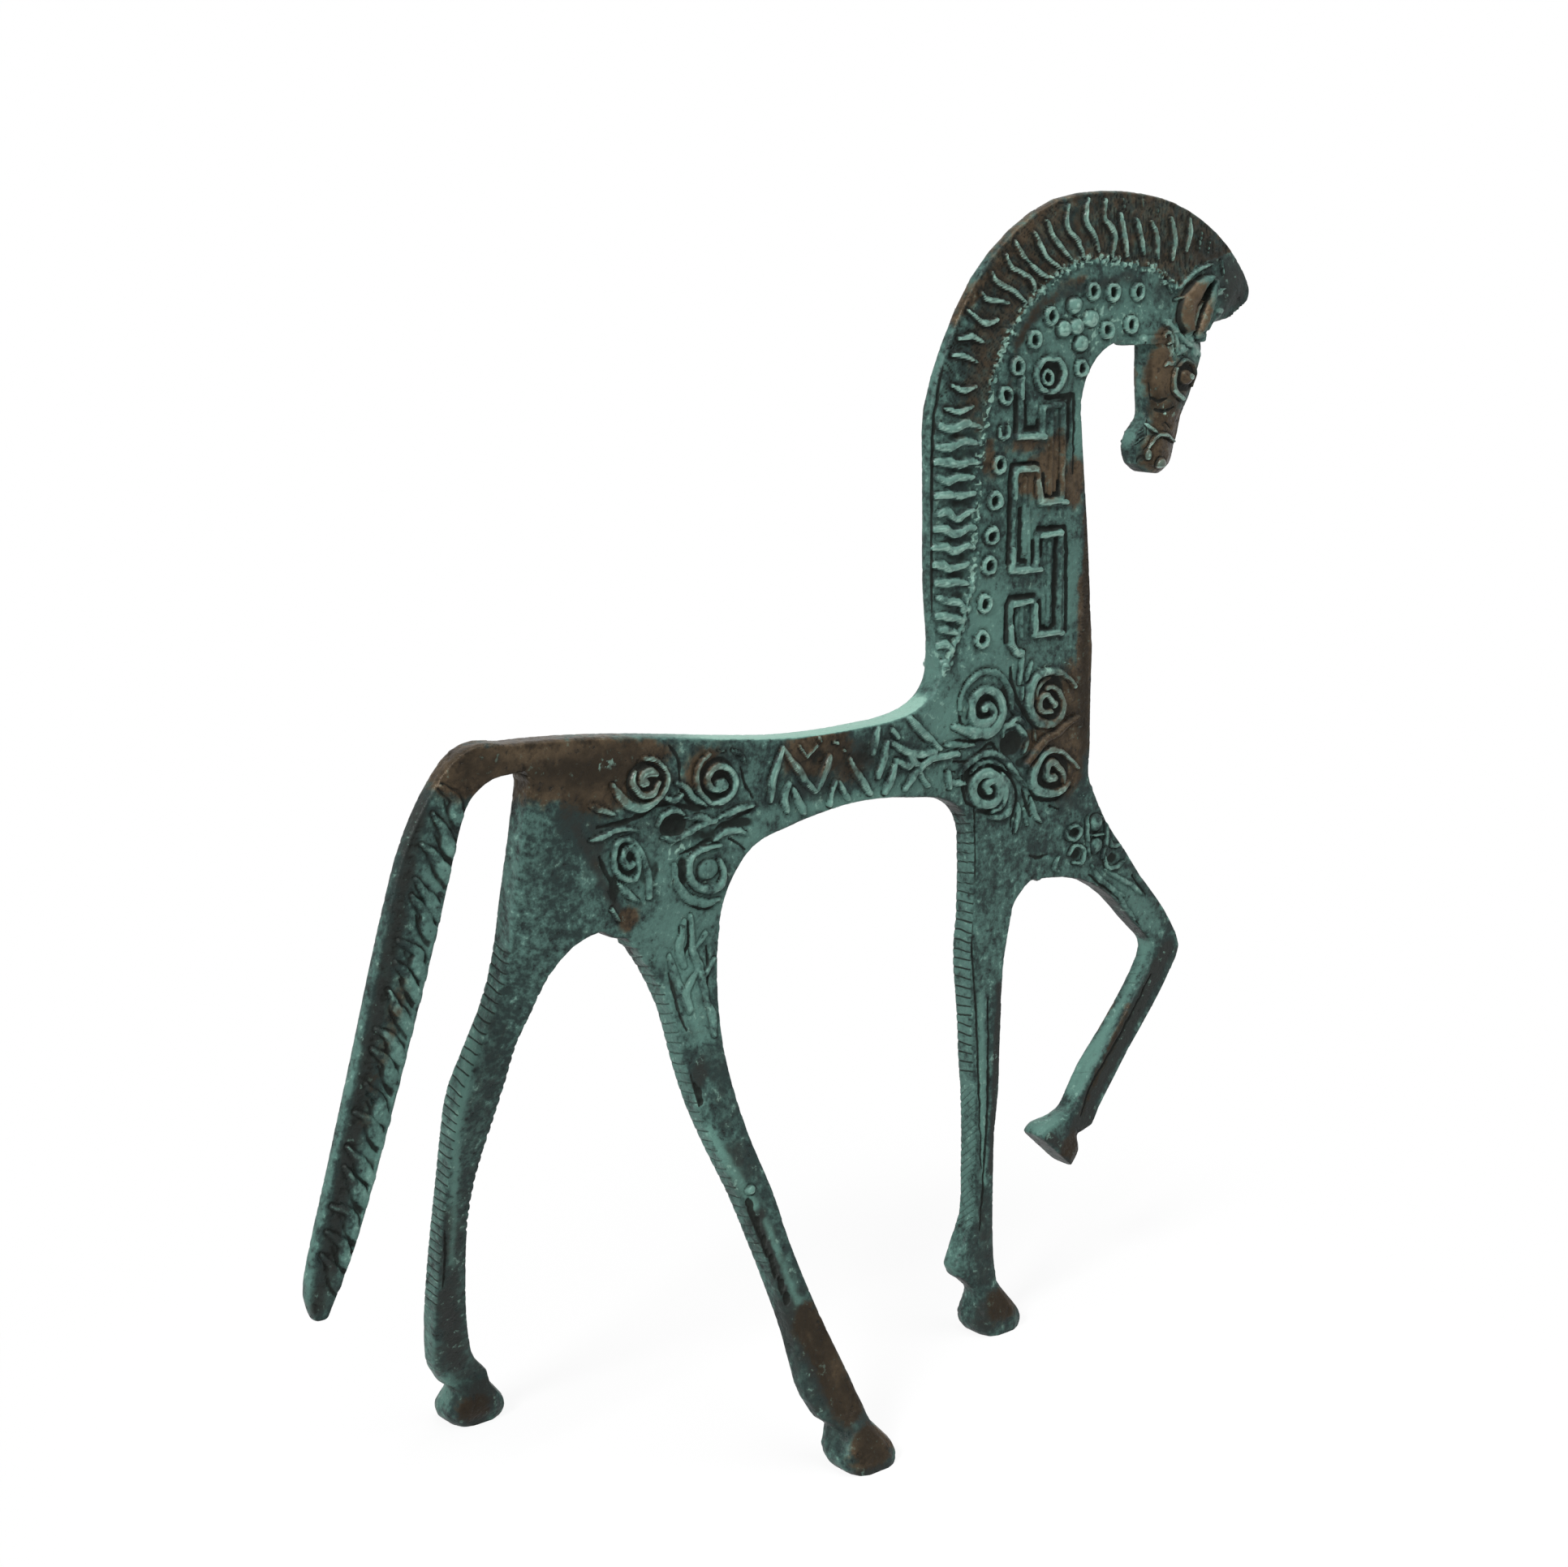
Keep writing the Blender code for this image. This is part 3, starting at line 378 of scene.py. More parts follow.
# Raised leg: a flower and sprigs. Near hind leg: a twig with leaves, and a bud.
FLOWER = ((82.8, 115.6), (82.5, 121.2))
FLOWER_LOOPS = (
    ((73.0, 121.4), (76.2, 121.6), (77.6, 119.8), (75.6, 118.2), (72.8, 119.2), (72.4, 120.8)),
    ((73.4, 114.6), (75.4, 116.6), (78.4, 115.4), (78.0, 112.2), (74.8, 112.6)),
    ((86.4, 117.8), (88.4, 114.8), (91.6, 114.6)), ((79.4, 123.0), (79.8, 118.4), (80.2, 113.4)),
    ((85.8, 112.6), (86.8, 109.8), (90.0, 109.0), (92.8, 110.4)), ((80.4, 118.4), (85.0, 118.2)),
    ((86.0, 122.0), (86.2, 116.8), (85.0, 111.8)),
)
FLOWER_EYES = ((75.2, 120.2), (75.8, 114.4), (88.8, 111.6))
SPRIGS = (
    ((81.4, 110.8), (84.2, 107.2), (88.4, 104.2), (93.4, 101.0)),
    ((86.2, 109.0), (90.6, 106.4), (96.2, 103.2), (99.4, 100.6)),
    ((70.2, 114.8), (68.8, 112.4), (70.6, 110.8)), ((90.0, 103.0), (94.2, 98.0), (97.4, 94.4)),
)
TWIG = (
    ((-40.6, 119.2), (-40.2, 112.0), (-37.8, 106.0), (-36.6, 99.0)),
    ((-42.2, 118.4), (-43.8, 113.0), (-42.4, 108.4)), ((-40.2, 111.4), (-36.8, 114.8)),
    ((-38.6, 107.4), (-42.2, 102.4), (-41.0, 98.2)), ((-37.6, 104.6), (-34.4, 108.8)),
    ((-46.4, 111.8), (-44.0, 104.8), (-40.6, 98.6)), ((-37.0, 100.4), (-35.0, 96.2), (-34.4, 91.6)),
)
HIND_BUD = (-24.6, 53.6)

# Shallow hollows between the turns (x, z, half width, half height, depth), and cut lines with widths.
SHOULDER_HOLLOWS = (
    (53.6, 144.6, 3.4, 3.0, 1.3), (45.2, 153.6, 5.6, 4.6, 0.95), (51.0, 154.4, 1.5, 4.2, 1.0),
    (65.2, 153.4, 5.8, 6.4, 0.95), (47.2, 135.0, 5.4, 4.6, 0.75), (40.4, 138.4, 1.7, 4.6, 0.75),
    (67.4, 135.6, 5.6, 4.4, 0.95), (46.4, 129.6, 3.6, 1.0, 0.95), (57.4, 139.6, 2.4, 1.6, 0.7),
)
SHOULDER_GROOVES = (
    (
        (
            (53.0, 162.4), (53.4, 159.4), (54.6, 155.8), (57.0, 152.4), (59.6, 149.4), (62.6, 147.2),
            (67.0, 146.6),
        ),
        1.5,
    ),
    (((35.4, 142.6), (40.0, 142.0), (43.0, 143.4), (47.0, 145.4), (49.6, 143.2)), 0.9),
    (((45.8, 140.4), (49.0, 139.8), (52.0, 137.8), (54.6, 134.6), (55.4, 131.0), (54.6, 127.0)), 1.8),
    (((60.2, 132.2), (62.4, 130.0), (66.0, 129.2), (70.0, 129.6), (73.6, 131.2)), 1.3),
    (((37.2, 154.6), (37.6, 151.6), (40.0, 149.8)), 0.9),
    (((37.0, 157.4), (38.4, 160.2), (42.0, 162.0)), 0.6),
    (((38.4, 139.2), (38.6, 135.4), (39.6, 132.4), (42.6, 131.0)), 0.8),
    (((32.6, 141.0), (36.0, 140.2)), 0.9), (((57.6, 133.0), (58.8, 129.4), (60.4, 126.0)), 0.9),
    (((36.0, 147.6), (41.0, 146.8), (46.0, 146.4)), 0.6), (((66.8, 127.6), (70.2, 126.6)), 1.0),
    (((54.4, 128.4), (54.0, 124.6)), 0.9),
)
HAUNCH_HOLLOWS = (
    (-45.0, 139.8, 3.3, 2.5, 1.35), (-52.0, 150.6, 5.2, 4.6, 0.85), (-33.4, 148.2, 5.0, 4.8, 0.9),
    (-57.2, 134.4, 3.4, 3.8, 0.8), (-51.6, 131.0, 3.0, 3.2, 0.55), (-42.8, 129.6, 1.6, 3.4, 0.95),
    (-28.0, 137.6, 5.0, 1.3, 0.8), (-36.4, 136.6, 5.6, 1.3, 0.6), (-60.6, 128.4, 1.3, 3.4, 0.9),
)
HAUNCH_GROOVES = (
    (
        (
            (-64.6, 142.4), (-59.6, 142.6), (-54.4, 143.0), (-50.0, 144.6), (-46.6, 145.0),
            (-42.6, 143.8), (-38.0, 142.0),
        ),
        1.1,
    ),
    (((-43.4, 149.6), (-42.0, 146.0), (-39.0, 142.8), (-36.6, 142.2)), 1.3),
    (((-33.6, 137.4), (-27.0, 139.2), (-23.0, 140.6)), 0.8),
    (((-43.6, 133.4), (-38.0, 134.6), (-33.0, 135.2), (-30.0, 136.0)), 0.7),
    (((-64.2, 136.0), (-62.6, 132.4), (-60.2, 128.8)), 1.0),
    (((-44.4, 126.2), (-42.0, 122.8), (-38.2, 120.4), (-34.6, 120.2)), 0.7),
    (((-27.0, 150.0), (-25.6, 146.0), (-23.6, 142.6)), 0.6),
    (((-41.6, 118.2), (-41.2, 114.0), (-42.6, 111.0)), 0.6),
    (((-43.6, 117.6), (-44.0, 113.6), (-42.8, 110.6)), 0.6),
    (((-45.8, 157.0), (-43.6, 154.0), (-43.2, 150.0)), 0.6),
    (((-30.4, 134.6), (-27.4, 133.0), (-25.6, 131.6)), 0.4),
)

# Scraped fields (x, z, half width, half height, share), the tail's band and outer edge, and cracks and
# flakes of the legs.
BARREL_FIELD = (
    (-7.0, 147.5, 9.0, 6.0, 1.0), (6.0, 147.0, 9.0, 6.0, 1.0), (-14.0, 144.0, 3.0, 5.0, 0.6),
    (26.5, 149.0, 3.5, 1.8, 0.7),
)
TAIL_BAND = ((-94.8, 152.0), (-104.6, 124.0), (-113.6, 97.0), (-121.4, 74.0), (-127.0, 58.0))
TAIL_OUTER = ((-105.0, 157.0, -133.5, 56.0, 3.0, 1.0),)
NECK_SCRAPES = ((77.0, 176.0, 3.0, 20.0, 0.9), (95.0, 244.0, 4.0, 5.0, 0.5), (42.0, 126.0, 4.5, 5.0, 0.9))
FORE_SEAMS = (
    ((42.5, 132.0), (42.3, 114.4), (41.9, 98.5), (43.5, 84.9), (45.1, 65.3), (46.3, 41.5)),
    ((47.6, 84.0), (48.2, 60.0), (47.0, 38.0), (46.4, 26.0)),
    ((104.0, 79.0), (94.0, 66.0), (84.0, 55.0), (80.0, 47.0)),
    ((80.6, 108.4), (90.0, 101.6), (99.0, 92.6)), ((96.0, 106.0), (101.0, 100.0)),
    ((41.4, 118.0), (41.6, 110.0)), ((60.6, 116.4), (63.0, 115.4), (66.6, 116.0)),
)
HIND_SEAMS = (
    ((-103.8, 81.5), (-104.2, 74.0), (-104.4, 66.5), (-104.0, 60.0), (-104.7, 52.4)),
    ((-96.0, 108.0), (-92.0, 110.0)), ((-46.6, 108.0), (-44.4, 100.0), (-42.0, 94.0)),
    ((-36.4, 112.0), (-36.0, 106.0), (-37.4, 100.0)),
)
HIND_FLAKES = (
    ((-25.3, 50.7), (-23.9, 46.9), (-21.8, 42.0), (-18.3, 33.9), (-14.3, 24.9)),
    ((-42.2, 83.5), (-40.0, 80.3), (-38.2, 77.1)),
)

# Flame strokes of the tail, in millimetres: how many, the first one's height and their pitch, and the line
# that they hang on: its top, and how far it leans back for each millimetre down.
TAIL_FLAMES = 17
FIRST_FLAME_Z = 151.0
FLAME_PITCH = 5.7
TAIL_TOP = (-96.0, 153.0)
TAIL_LEAN = 0.335

# Ladders of notches on the rear edges: lowest and highest place, pitch and depth in millimetres, and slant.
BODY_RUNGS = (96, 156, 2.4, 0.22, 0.1)
NEAR_HIND_RUNGS = (40, 122, 2.2, 0.18, 0.2)
FAR_HIND_RUNGS = (30, 122, 2.3, 0.22, -0.2)
STANDING_UPPER_RUNGS = (62, 134, 2.3, 0.24, 0.1)
STANDING_LOWER_RUNGS = (24, 66, 1.8, 0.2, 0.9)
RAISED_RUNGS = (52, 88, 2.2, 0.14, 0.3)
# Teeth on the far hind leg's front edge: lowest and highest place, pitch and depth, in millimetres.
FAR_HIND_TEETH = (50, 118, 2.3, 0.34)
# A notch of this depth is quite dark, in millimetres.
DARK_NOTCH = 0.3
# How narrow notches, teeth and scraped lines are for their pitch: more is narrower.
RUNG_SHARPNESS = 6
TOOTH_SHARPNESS = 3
SCRAPE_SHARPNESS = 3

# Weather and handling, with one painted highlight among the bright streaks, in sheet millimetres: soft
# spots (x, z, half width, half height, share) and soft streaks (from x, z, to x, z, half width, share).
BROWN_SPOTS = (
    (-96.0, 158.5, 9.0, 6.0, 1.3), (-84.0, 159.5, 14.0, 5.0, 1.3), (-76.0, 155.0, 14.0, 6.0, 1.3),
    (-64.0, 151.0, 11.0, 6.0, 1.2), (12.4, -19.4, 7.0, 6.0, 1.5), (-98.5, 24.0, 4.5, 3.4, 1.0),
    (55.0, 4.6, 4.0, 4.0, 1.0), (78.0, 40.0, 3.6, 5.0, 0.9), (103.0, 222.0, 9.0, 20.0, 0.62),
    (101.0, 236.0, 5.0, 5.0, 0.8), (104.0, 216.0, 6.0, 8.0, 0.9), (-68.0, 157.5, 13.0, 4.6, 1.23),
    (-54.0, 155.5, 9.0, 4.2, 1.17), (-52.0, 150.5, 6.6, 5.4, 1.1), (-37.0, 151.0, 7.0, 6.0, 0.81),
    (-5.0, 150.5, 10.0, 5.6, 1.37), (4.0, 146.0, 7.0, 5.0, 0.78), (66.0, 153.5, 7.0, 6.6, 1.04),
    (71.0, 136.0, 7.0, 7.0, 1.23), (66.0, 144.4, 9.0, 3.2, 1.3), (74.0, 148.0, 6.0, 14.0, 1.4),
    (60.0, 139.8, 2.6, 2.2, 0.91), (-57.0, 121.6, 3.0, 2.8, 1.23), (63.5, 206.5, 7.0, 6.5, 1.23),
    (72.5, 204.0, 3.6, 6.0, 1.17), (57.0, 205.0, 3.6, 4.4, 0.98), (45.0, 211.0, 2.6, 6.0, 0.78),
    (57.0, 213.4, 8.0, 2.4, 0.78), (66.5, 213.0, 4.0, 3.4, 0.98), (111.5, 243.0, 6.0, 7.5, 1.05),
    (100.5, 228.0, 5.6, 8.0, 1.17), (108.4, 226.8, 5.0, 4.6, 0.98), (102.0, 217.0, 5.0, 4.0, 0.91),
    (100.5, 209.0, 6.4, 5.0, 1.1), (54.0, 4.6, 7.0, 6.0, 0.9), (76.0, 40.0, 4.0, 4.0, 0.78),
    (54.0, 250.0, 5.0, 4.0, 0.65),
)
BROWN_STREAKS = (
    (77.2, 148.0, 77.2, 180.0, 2.8, 1.1), (77.4, 180.0, 77.2, 216.0, 1.5, 0.9),
    (-78.0, 151.0, -70.0, 143.5, 2.4, 0.4), (-70.0, 143.5, -60.0, 124.0, 1.8, 0.3),
    (-8.2, 17.9, 5.0, -8.0, 4.8, 1.0), (34.0, 243.0, 62.0, 266.5, 2.6, 0.75),
    (96.0, 72.0, 80.0, 48.0, 1.8, 0.6), (-112.0, 118.0, -122.0, 92.0, 2.6, 0.5),
    (50.5, 226.0, 52.5, 236.0, 2.0, 0.45), (52.5, 236.0, 61.0, 246.0, 2.4, 0.5),
    (61.0, 246.0, 74.0, 250.8, 2.4, 0.5),
)
DIM_SPOTS = (
    (-71.0, 146.0, 6.0, 6.0, 0.7), (-65.0, 138.0, 4.0, 9.0, 0.7), (12.0, -20.0, 7.0, 6.0, 0.65),
    (-96.0, 24.0, 5.0, 4.0, 0.8), (12.0, -26.0, 9.0, 2.0, 1.0), (9.0, -9.0, 3.0, 3.0, 0.8),
    (56.0, 2.4, 4.0, 3.0, 0.8), (79.0, 40.0, 3.6, 4.0, 0.8), (-66.0, 155.0, 20.0, 5.6, 0.9),
    (-92.0, 159.0, 10.0, 5.0, 0.75), (-54.0, 149.0, 7.0, 5.0, 0.5), (54.0, 145.0, 20.0, 17.0, 0.42),
    (-46.0, 139.0, 18.0, 15.0, 0.45), (60.0, 205.0, 13.0, 26.0, 0.27), (84.0, 243.0, 22.0, 9.0, 0.12),
    (125.0, 248.0, 8.0, 10.0, 0.85), (115.0, 256.0, 12.0, 5.0, 0.8), (100.0, 226.0, 8.0, 16.0, 0.4),
    (22.0, 146.0, 12.0, 5.0, 0.35), (-74.0, 136.0, 10.0, 16.0, 0.3), (-66.0, 151.0, 12.0, 6.0, 0.6),
    (-45.0, 140.0, 6.0, 4.0, 0.35), (-36.0, 154.0, 10.0, 4.0, 0.5), (77.5, 150.0, 2.8, 26.0, 0.85),
    (77.4, 180.0, 2.4, 16.0, 0.6), (73.0, 128.0, 7.0, 5.0, 0.6), (6.0, 147.0, 10.0, 6.6, 0.75),
    (-6.0, 143.0, 12.0, 5.0, 0.6), (66.0, 219.0, 5.0, 4.4, 0.5), (101.0, 248.0, 6.0, 6.0, 0.55),
    (124.0, 250.0, 8.0, 8.0, 0.5), (-38.6, 84.0, 3.4, 4.6, 0.9), (-21.6, 45.0, 1.5, 4.0, 1.2),
    (48.0, 22.0, 6.0, 24.0, 0.6), (-99.0, 30.0, 8.0, 12.0, 0.6), (51.0, 4.0, 9.0, 7.0, 0.95),
    (75.0, 41.0, 6.0, 5.0, 0.65), (99.0, 222.0, 5.0, 4.0, 0.7), (92.0, 209.0, 4.0, 3.6, 0.6),
    (96.6, 228.0, 1.8, 7.0, 0.8), (104.6, 219.6, 3.4, 2.2, 0.8), (-103.0, 48.0, 6.0, 8.0, 0.45),
    (-132.0, 58.0, 6.0, 8.0, 0.55), (106.0, 250.0, 5.0, 3.4, 0.6), (-70.0, 118.0, 10.0, 5.0, 0.3),
    (60.0, 118.0, 14.0, 6.0, 0.3), (47.0, 112.0, 8.0, 10.0, 0.25), (58.0, 182.0, 5.0, 2.0, 0.4),
    (44.0, 213.0, 3.0, 14.0, 0.4),
)
DIM_STREAKS = (
    (-102.0, 66.0, -104.0, 36.0, 5.0, 0.65), (-30.0, 64.0, -14.0, 26.0, 5.0, 0.65),
    (-7.0, 17.0, 14.0, -24.0, 6.0, 0.7), (-92.0, 106.0, -104.0, 44.0, 8.0, 0.4),
    (-44.0, 108.0, 0.0, -5.0, 8.0, 0.42), (-13.0, 20.0, -1.0, -4.0, 2.6, 1.1),
    (-9.0, 20.0, -4.0, 10.0, 3.0, 0.9), (109.3, 84.3, 82.6, 50.1, 3.0, 1.2),
    (81.6, 47.0, 76.0, 39.0, 3.8, 1.2), (69.0, 44.4, 77.0, 38.4, 1.6, 1.0),
    (51.1, 86.0, 49.6, 40.0, 1.4, 0.9), (-21.4, 44.0, -17.5, 33.0, 1.2, 1.6),
    (-17.5, 33.0, -14.0, 25.3, 0.8, 1.6), (-12.0, 23.0, 6.0, -11.0, 4.4, 0.75),
    (-104.2, 50.0, -102.2, 35.0, 3.6, 0.9), (-97.0, 26.6, -98.9, 22.8, 4.6, 1.0),
    (-60.0, 124.0, -70.0, 143.5, 2.2, 0.8), (77.6, 150.0, 77.2, 216.0, 1.8, 0.9),
    (-11.0, 20.0, 1.0, -3.0, 3.4, 0.5), (-88.0, 108.0, -100.0, 62.0, 1.8, 0.4),
    (-106.0, 157.0, -133.5, 56.0, 3.0, 0.8), (113.0, 84.0, 84.0, 52.0, 2.6, 0.5),
    (-14.0, 22.0, 4.0, -10.0, 9.0, 0.75), (82.0, 124.0, 110.0, 90.0, 1.6, 0.45),
    (50.5, 226.0, 53.5, 237.0, 2.0, 0.5), (53.5, 237.0, 62.0, 246.0, 2.4, 0.7),
    (62.0, 246.0, 90.0, 250.6, 2.2, 0.65),
)
BRIGHT_SPOTS = (
    (111.5, 243.0, 6.0, 8.0, 0.9), (101.0, 230.0, 6.0, 9.0, 0.6), (-46.0, 131.0, 14.0, 8.0, 0.5),
    (84.0, 240.0, 20.0, 8.0, 0.6), (-46.0, 116.0, 12.0, 8.0, 0.45), (60.0, 236.0, 6.0, 8.0, 0.4),
    (4.0, 138.0, 26.0, 1.9, 0.8), (34.0, 153.0, 9.0, 8.0, 0.75), (28.0, 139.0, 8.0, 3.0, 0.6),
    (-25.0, 135.0, 5.0, 3.6, 0.7), (-38.0, 122.0, 7.0, 4.0, 0.6), (45.5, 174.0, 6.0, 12.0, 0.8),
    (52.0, 163.0, 8.0, 4.0, 0.4), (73.6, 217.0, 1.6, 9.0, 0.85), (72.2, 180.0, 2.4, 12.0, 0.5),
    (79.0, 233.0, 4.0, 4.0, 0.5), (70.0, 240.0, 8.0, 6.0, 0.35), (57.8, 193.0, 2.2, 6.0, 0.7),
    (63.6, 178.0, 1.8, 5.0, 0.4), (42.0, 150.0, 6.0, 2.4, 0.5), (60.0, 128.0, 5.0, 4.0, 0.5),
    (36.0, 137.0, 4.0, 3.0, 0.6), (-45.0, 104.0, 5.0, 9.0, 0.35), (28.6, 165.0, 3.0, 5.0, 0.6),
    (30.0, 190.0, 2.2, 26.0, 0.35), (112.8, 232.8, 2.0, 2.2, 0.6), (91.0, 213.6, 2.4, 2.2, 0.5),
    (93.4, 229.0, 1.6, 7.0, 0.35), (63.5, 205.5, 7.0, 6.0, 0.6), (68.0, 237.5, 8.0, 6.0, 0.55),
    (0.0, 1.0, 2.0, 6.0, 0.7),
)
BRIGHT_STREAKS = (
    (-36.2, 70.3, -23.5, 49.5, 1.6, 0.9), (-20.4, 45.0, -11.0, 23.0, 1.4, 0.75),
    (-96.0, 104.0, -101.0, 85.0, 1.8, 0.9), (-100.7, 85.1, -102.6, 57.3, 1.2, 0.7),
    (-105.0, 31.6, -105.2, 27.6, 2.0, 0.6), (45.4, 84.5, 47.2, 38.0, 1.0, 0.8),
    (102.1, 86.6, 78.4, 54.1, 1.9, 0.9), (65.1, 47.0, 70.5, 47.8, 2.4, 0.8),
    (-45.0, 118.0, -38.0, 92.0, 3.0, 0.6), (88.0, 108.0, 104.0, 92.0, 2.6, 0.4),
    # The second streak on the next line, along the croup's upper band, is a painted highlight.
    (101.0, 86.0, 74.0, 52.0, 2.0, 0.45), (-90.0, 161.0, -60.0, 157.4, 1.3, 0.4),
    (-99.0, 150.0, -127.0, 62.0, 2.0, 0.4),
)
DUST_SPOTS = (
    (78.0, 240.0, 20.0, 9.0, 0.7), (-44.0, 134.0, 7.0, 5.0, 0.6), (-50.0, 128.0, 4.0, 5.0, 0.5),
    (106.0, 233.0, 5.0, 3.0, 0.6), (103.0, 219.0, 5.0, 2.6, 0.6), (64.0, 160.0, 6.0, 4.0, 0.5),
    (48.0, 168.0, 3.0, 6.0, 0.4), (-62.0, 155.5, 6.0, 2.4, 0.5), (74.0, 116.0, 5.0, 3.0, 0.4),
    (92.0, 209.0, 3.0, 3.0, 0.5),
)
# Dust along the mane's rope border (half width, share).
ROPE_DUST = (1.7, 0.8)


def smooth_path(points, steps=4):
    """A smooth line through the drawn points, as an array of points."""
    drawn = np.asarray(points, float)
    if len(drawn) < 3:
        return drawn
    ends = np.vstack((2 * drawn[0] - drawn[1], drawn, 2 * drawn[-1] - drawn[-2]))
    t = np.linspace(0, 1, steps, endpoint=False)[:, None]
    pieces = []
    for before, start, end, after in zip(ends, ends[1:], ends[2:], ends[3:]):
        bend = 2 * before - 5 * start + 4 * end - after
        twist = 3 * (start - end) + after - before
        pieces.append(start + 0.5 * t * (end - before + t * (bend + t * twist)))
    return np.vstack(pieces + [drawn[-1:]])


def ease(value, low, high):
    """0 below low, 1 above high, and a smooth rise between them."""
    t = np.clip((value - low) / (high - low), 0, 1)
    return t * t * (3 - 2 * t)


def comb(phase, sharpness):
    """Narrow peaks from 0 to 1, one at each whole number of the phase."""
    return (0.5 + 0.5 * np.cos(2 * np.pi * phase)) ** sharpness


def mottle(place, size, seed, layers=1):
    """Cloudy noise between 0 and 1, with lumps of the given size in millimetres."""
    total = np.zeros(len(place))
    whole = 0.0
    for layer in range(layers):
        spot = place / size + SEED_SHIFT * (seed + layer)
        cell = np.floor(spot)
        share = spot - cell
        share = share * share * (3 - 2 * share)
        cell = cell.astype(np.int64)
        for corner in itertools.product((0, 1), repeat=3):
            key = (cell + corner) @ LATTICE_KEYS + SEED_KEY * seed
            key = (key ^ (key >> 13)) * SCRAMBLE_KEY
            key = (key ^ (key >> 16)) & NOISE_TOP
            part = np.prod(np.where(corner, share, 1 - share), 1)
            total += part * key / NOISE_TOP / 2**layer
        whole += 1 / 2**layer
        size = size / 2
    return total / whole


def on_sheet(points, splayed):
    """Where each point falls on the drawing sheet, seen from the point that it was drawn from."""
    x, y, z = points.T / MM
    if not splayed:
        y = -np.abs(y)
    share = (SHEET_Y - DRAWN_FROM[1]) / (y - DRAWN_FROM[1])
    return DRAWN_FROM[0] + share * (x - DRAWN_FROM[0]), DRAWN_FROM[2] + share * (z - DRAWN_FROM[2])


class Chaser:
    """Raises and cuts the ornament of one casting, in millimetres on the drawing sheet."""

    def __init__(self, points, relief, splayed):
        place = points / MM
        x, z = on_sheet(points, splayed)
        self.x = x + self.wander(place, 1, 3)
        self.z = z + self.wander(place, 2, 4)
        # Unevenness of the ridges' height, of the wear and of scraped lines.
        self.lump = 0.65 + 0.7 * mottle(place, 2.4, 5, 2)
        self.worn = mottle(place, 1.5, 6, 2)
        self.drift = mottle(place, 3.0, 7)
        self.far = points[:, 1] > 0
        self.height = relief.height / MM
        self.cut_depth = relief.cut_depth / MM
        # What has been drawn so far: swelling, ridges, cuts, and their colours.
        self.form = np.zeros(len(x))
        self.up = np.zeros(len(x))
        self.cover = np.zeros(len(x))
        self.cut = np.zeros(len(x))
        self.pit = np.zeros(len(x))
        self.pale = np.zeros(len(x))
        self.crest = np.zeros(len(x))
        self.shelter = np.zeros(len(x))

    def wander(self, place, sway_seed, nick_seed):
        """How far the hand strays from a drawn line at each point."""
        sway = HAND_SWAY * (mottle(place, SWAY_LENGTH, sway_seed) - 0.5)
        return sway + HAND_NICK * (mottle(place, NICK_LENGTH, nick_seed) - 0.5)

    def edge(self, path, half_widths, reach):
        """Points near a stroke, their distance outside its edge, and its half width there."""
        reach = max(half_widths) + max(reach, SHELTER)
        low = path.min(0) - reach
        high = path.max(0) + reach
        near = (self.x > low[0]) & (self.x < high[0]) & (self.z > low[1]) & (self.z < high[1])
        pick = np.flatnonzero(near)
        x = self.x[pick]
        z = self.z[pick]
        outside = np.full(len(pick), np.inf)
        half = np.ones(len(pick))
        for a, b, wide_a, wide_b in zip(path, path[1:], half_widths, half_widths[1:]):
            along = b - a
            share = ((x - a[0]) * along[0] + (z - a[1]) * along[1]) / max(along @ along, 1e-9)
            share = np.clip(share, 0, 1)
            wide = wide_a + (wide_b - wide_a) * share
            gap = np.hypot(x - a[0] - share * along[0], z - a[1] - share * along[1]) - wide
            nearer = gap < outside
            outside[nearer] = gap[nearer]
            half[nearer] = wide[nearer]
        return pick, outside, half

    def raise_up(self, pick, outside, half, lift, pale, cut, moat):
        """Lifts what is inside an edge to a rounded ridge, and cuts a moat along it."""
        across = np.clip(1 + outside / half, 0, 1)
        ridge = np.sqrt(1 - across**RIDGE_ROUNDING)
        self.up[pick] = np.maximum(self.up[pick], ridge * lift * self.height * self.lump[pick])
        self.cover[pick] = np.maximum(self.cover[pick], ease(-outside / half, -0.05, 0.4))
        trench = (1 - ease(outside, 0.15 * moat, moat)) * (0.5 + 0.8 * self.worn[pick])
        self.cut[pick] = np.maximum(self.cut[pick], trench * cut)
        self.pale[pick] = np.maximum(self.pale[pick], pale * ease(-outside / half, -0.1, 0.5))
        # The crest share is worn verdigris with a painted highlight along the top of each ridge.
        inset = np.where(half < THIN_RIDGE, 0.05, 0.4)
        crest = pale * ease(-outside / half, inset, 0.95) * (0.1 + 1.2 * self.worn[pick])
        self.crest[pick] = np.maximum(self.crest[pick], crest)
        self.shelter[pick] = np.maximum(self.shelter[pick], cut * (1 - ease(outside, 0.3, SHELTER)))

    def widths(self, path, width, taper):
        """Half width at each point of a path, from one width or one for each drawn point."""
        share = np.linspace(0, 1, len(path))
        if isinstance(width, tuple):
            return np.interp(share, np.linspace(0, 1, len(width)), width) / 2
        return width / 2 * np.minimum(1, taper + (1 - taper) * 4 * np.minimum(share, 1 - share))

    def stroke(self, points, width, lift=1.0, pale=0.9, cut=0.7, moat=0.55, taper=0.45, smooth=True):
        """A raised line. The width is one number, or one for each drawn point."""
        path = smooth_path(points) if smooth else np.asarray(points, float)
        self.raise_up(*self.edge(path, self.widths(path, width, taper), moat), lift, pale, cut, moat)

    def strokes(self, paths, width, **look):
        """The same raised line along several paths."""
        for path in paths:
            self.stroke(path, width, **look)

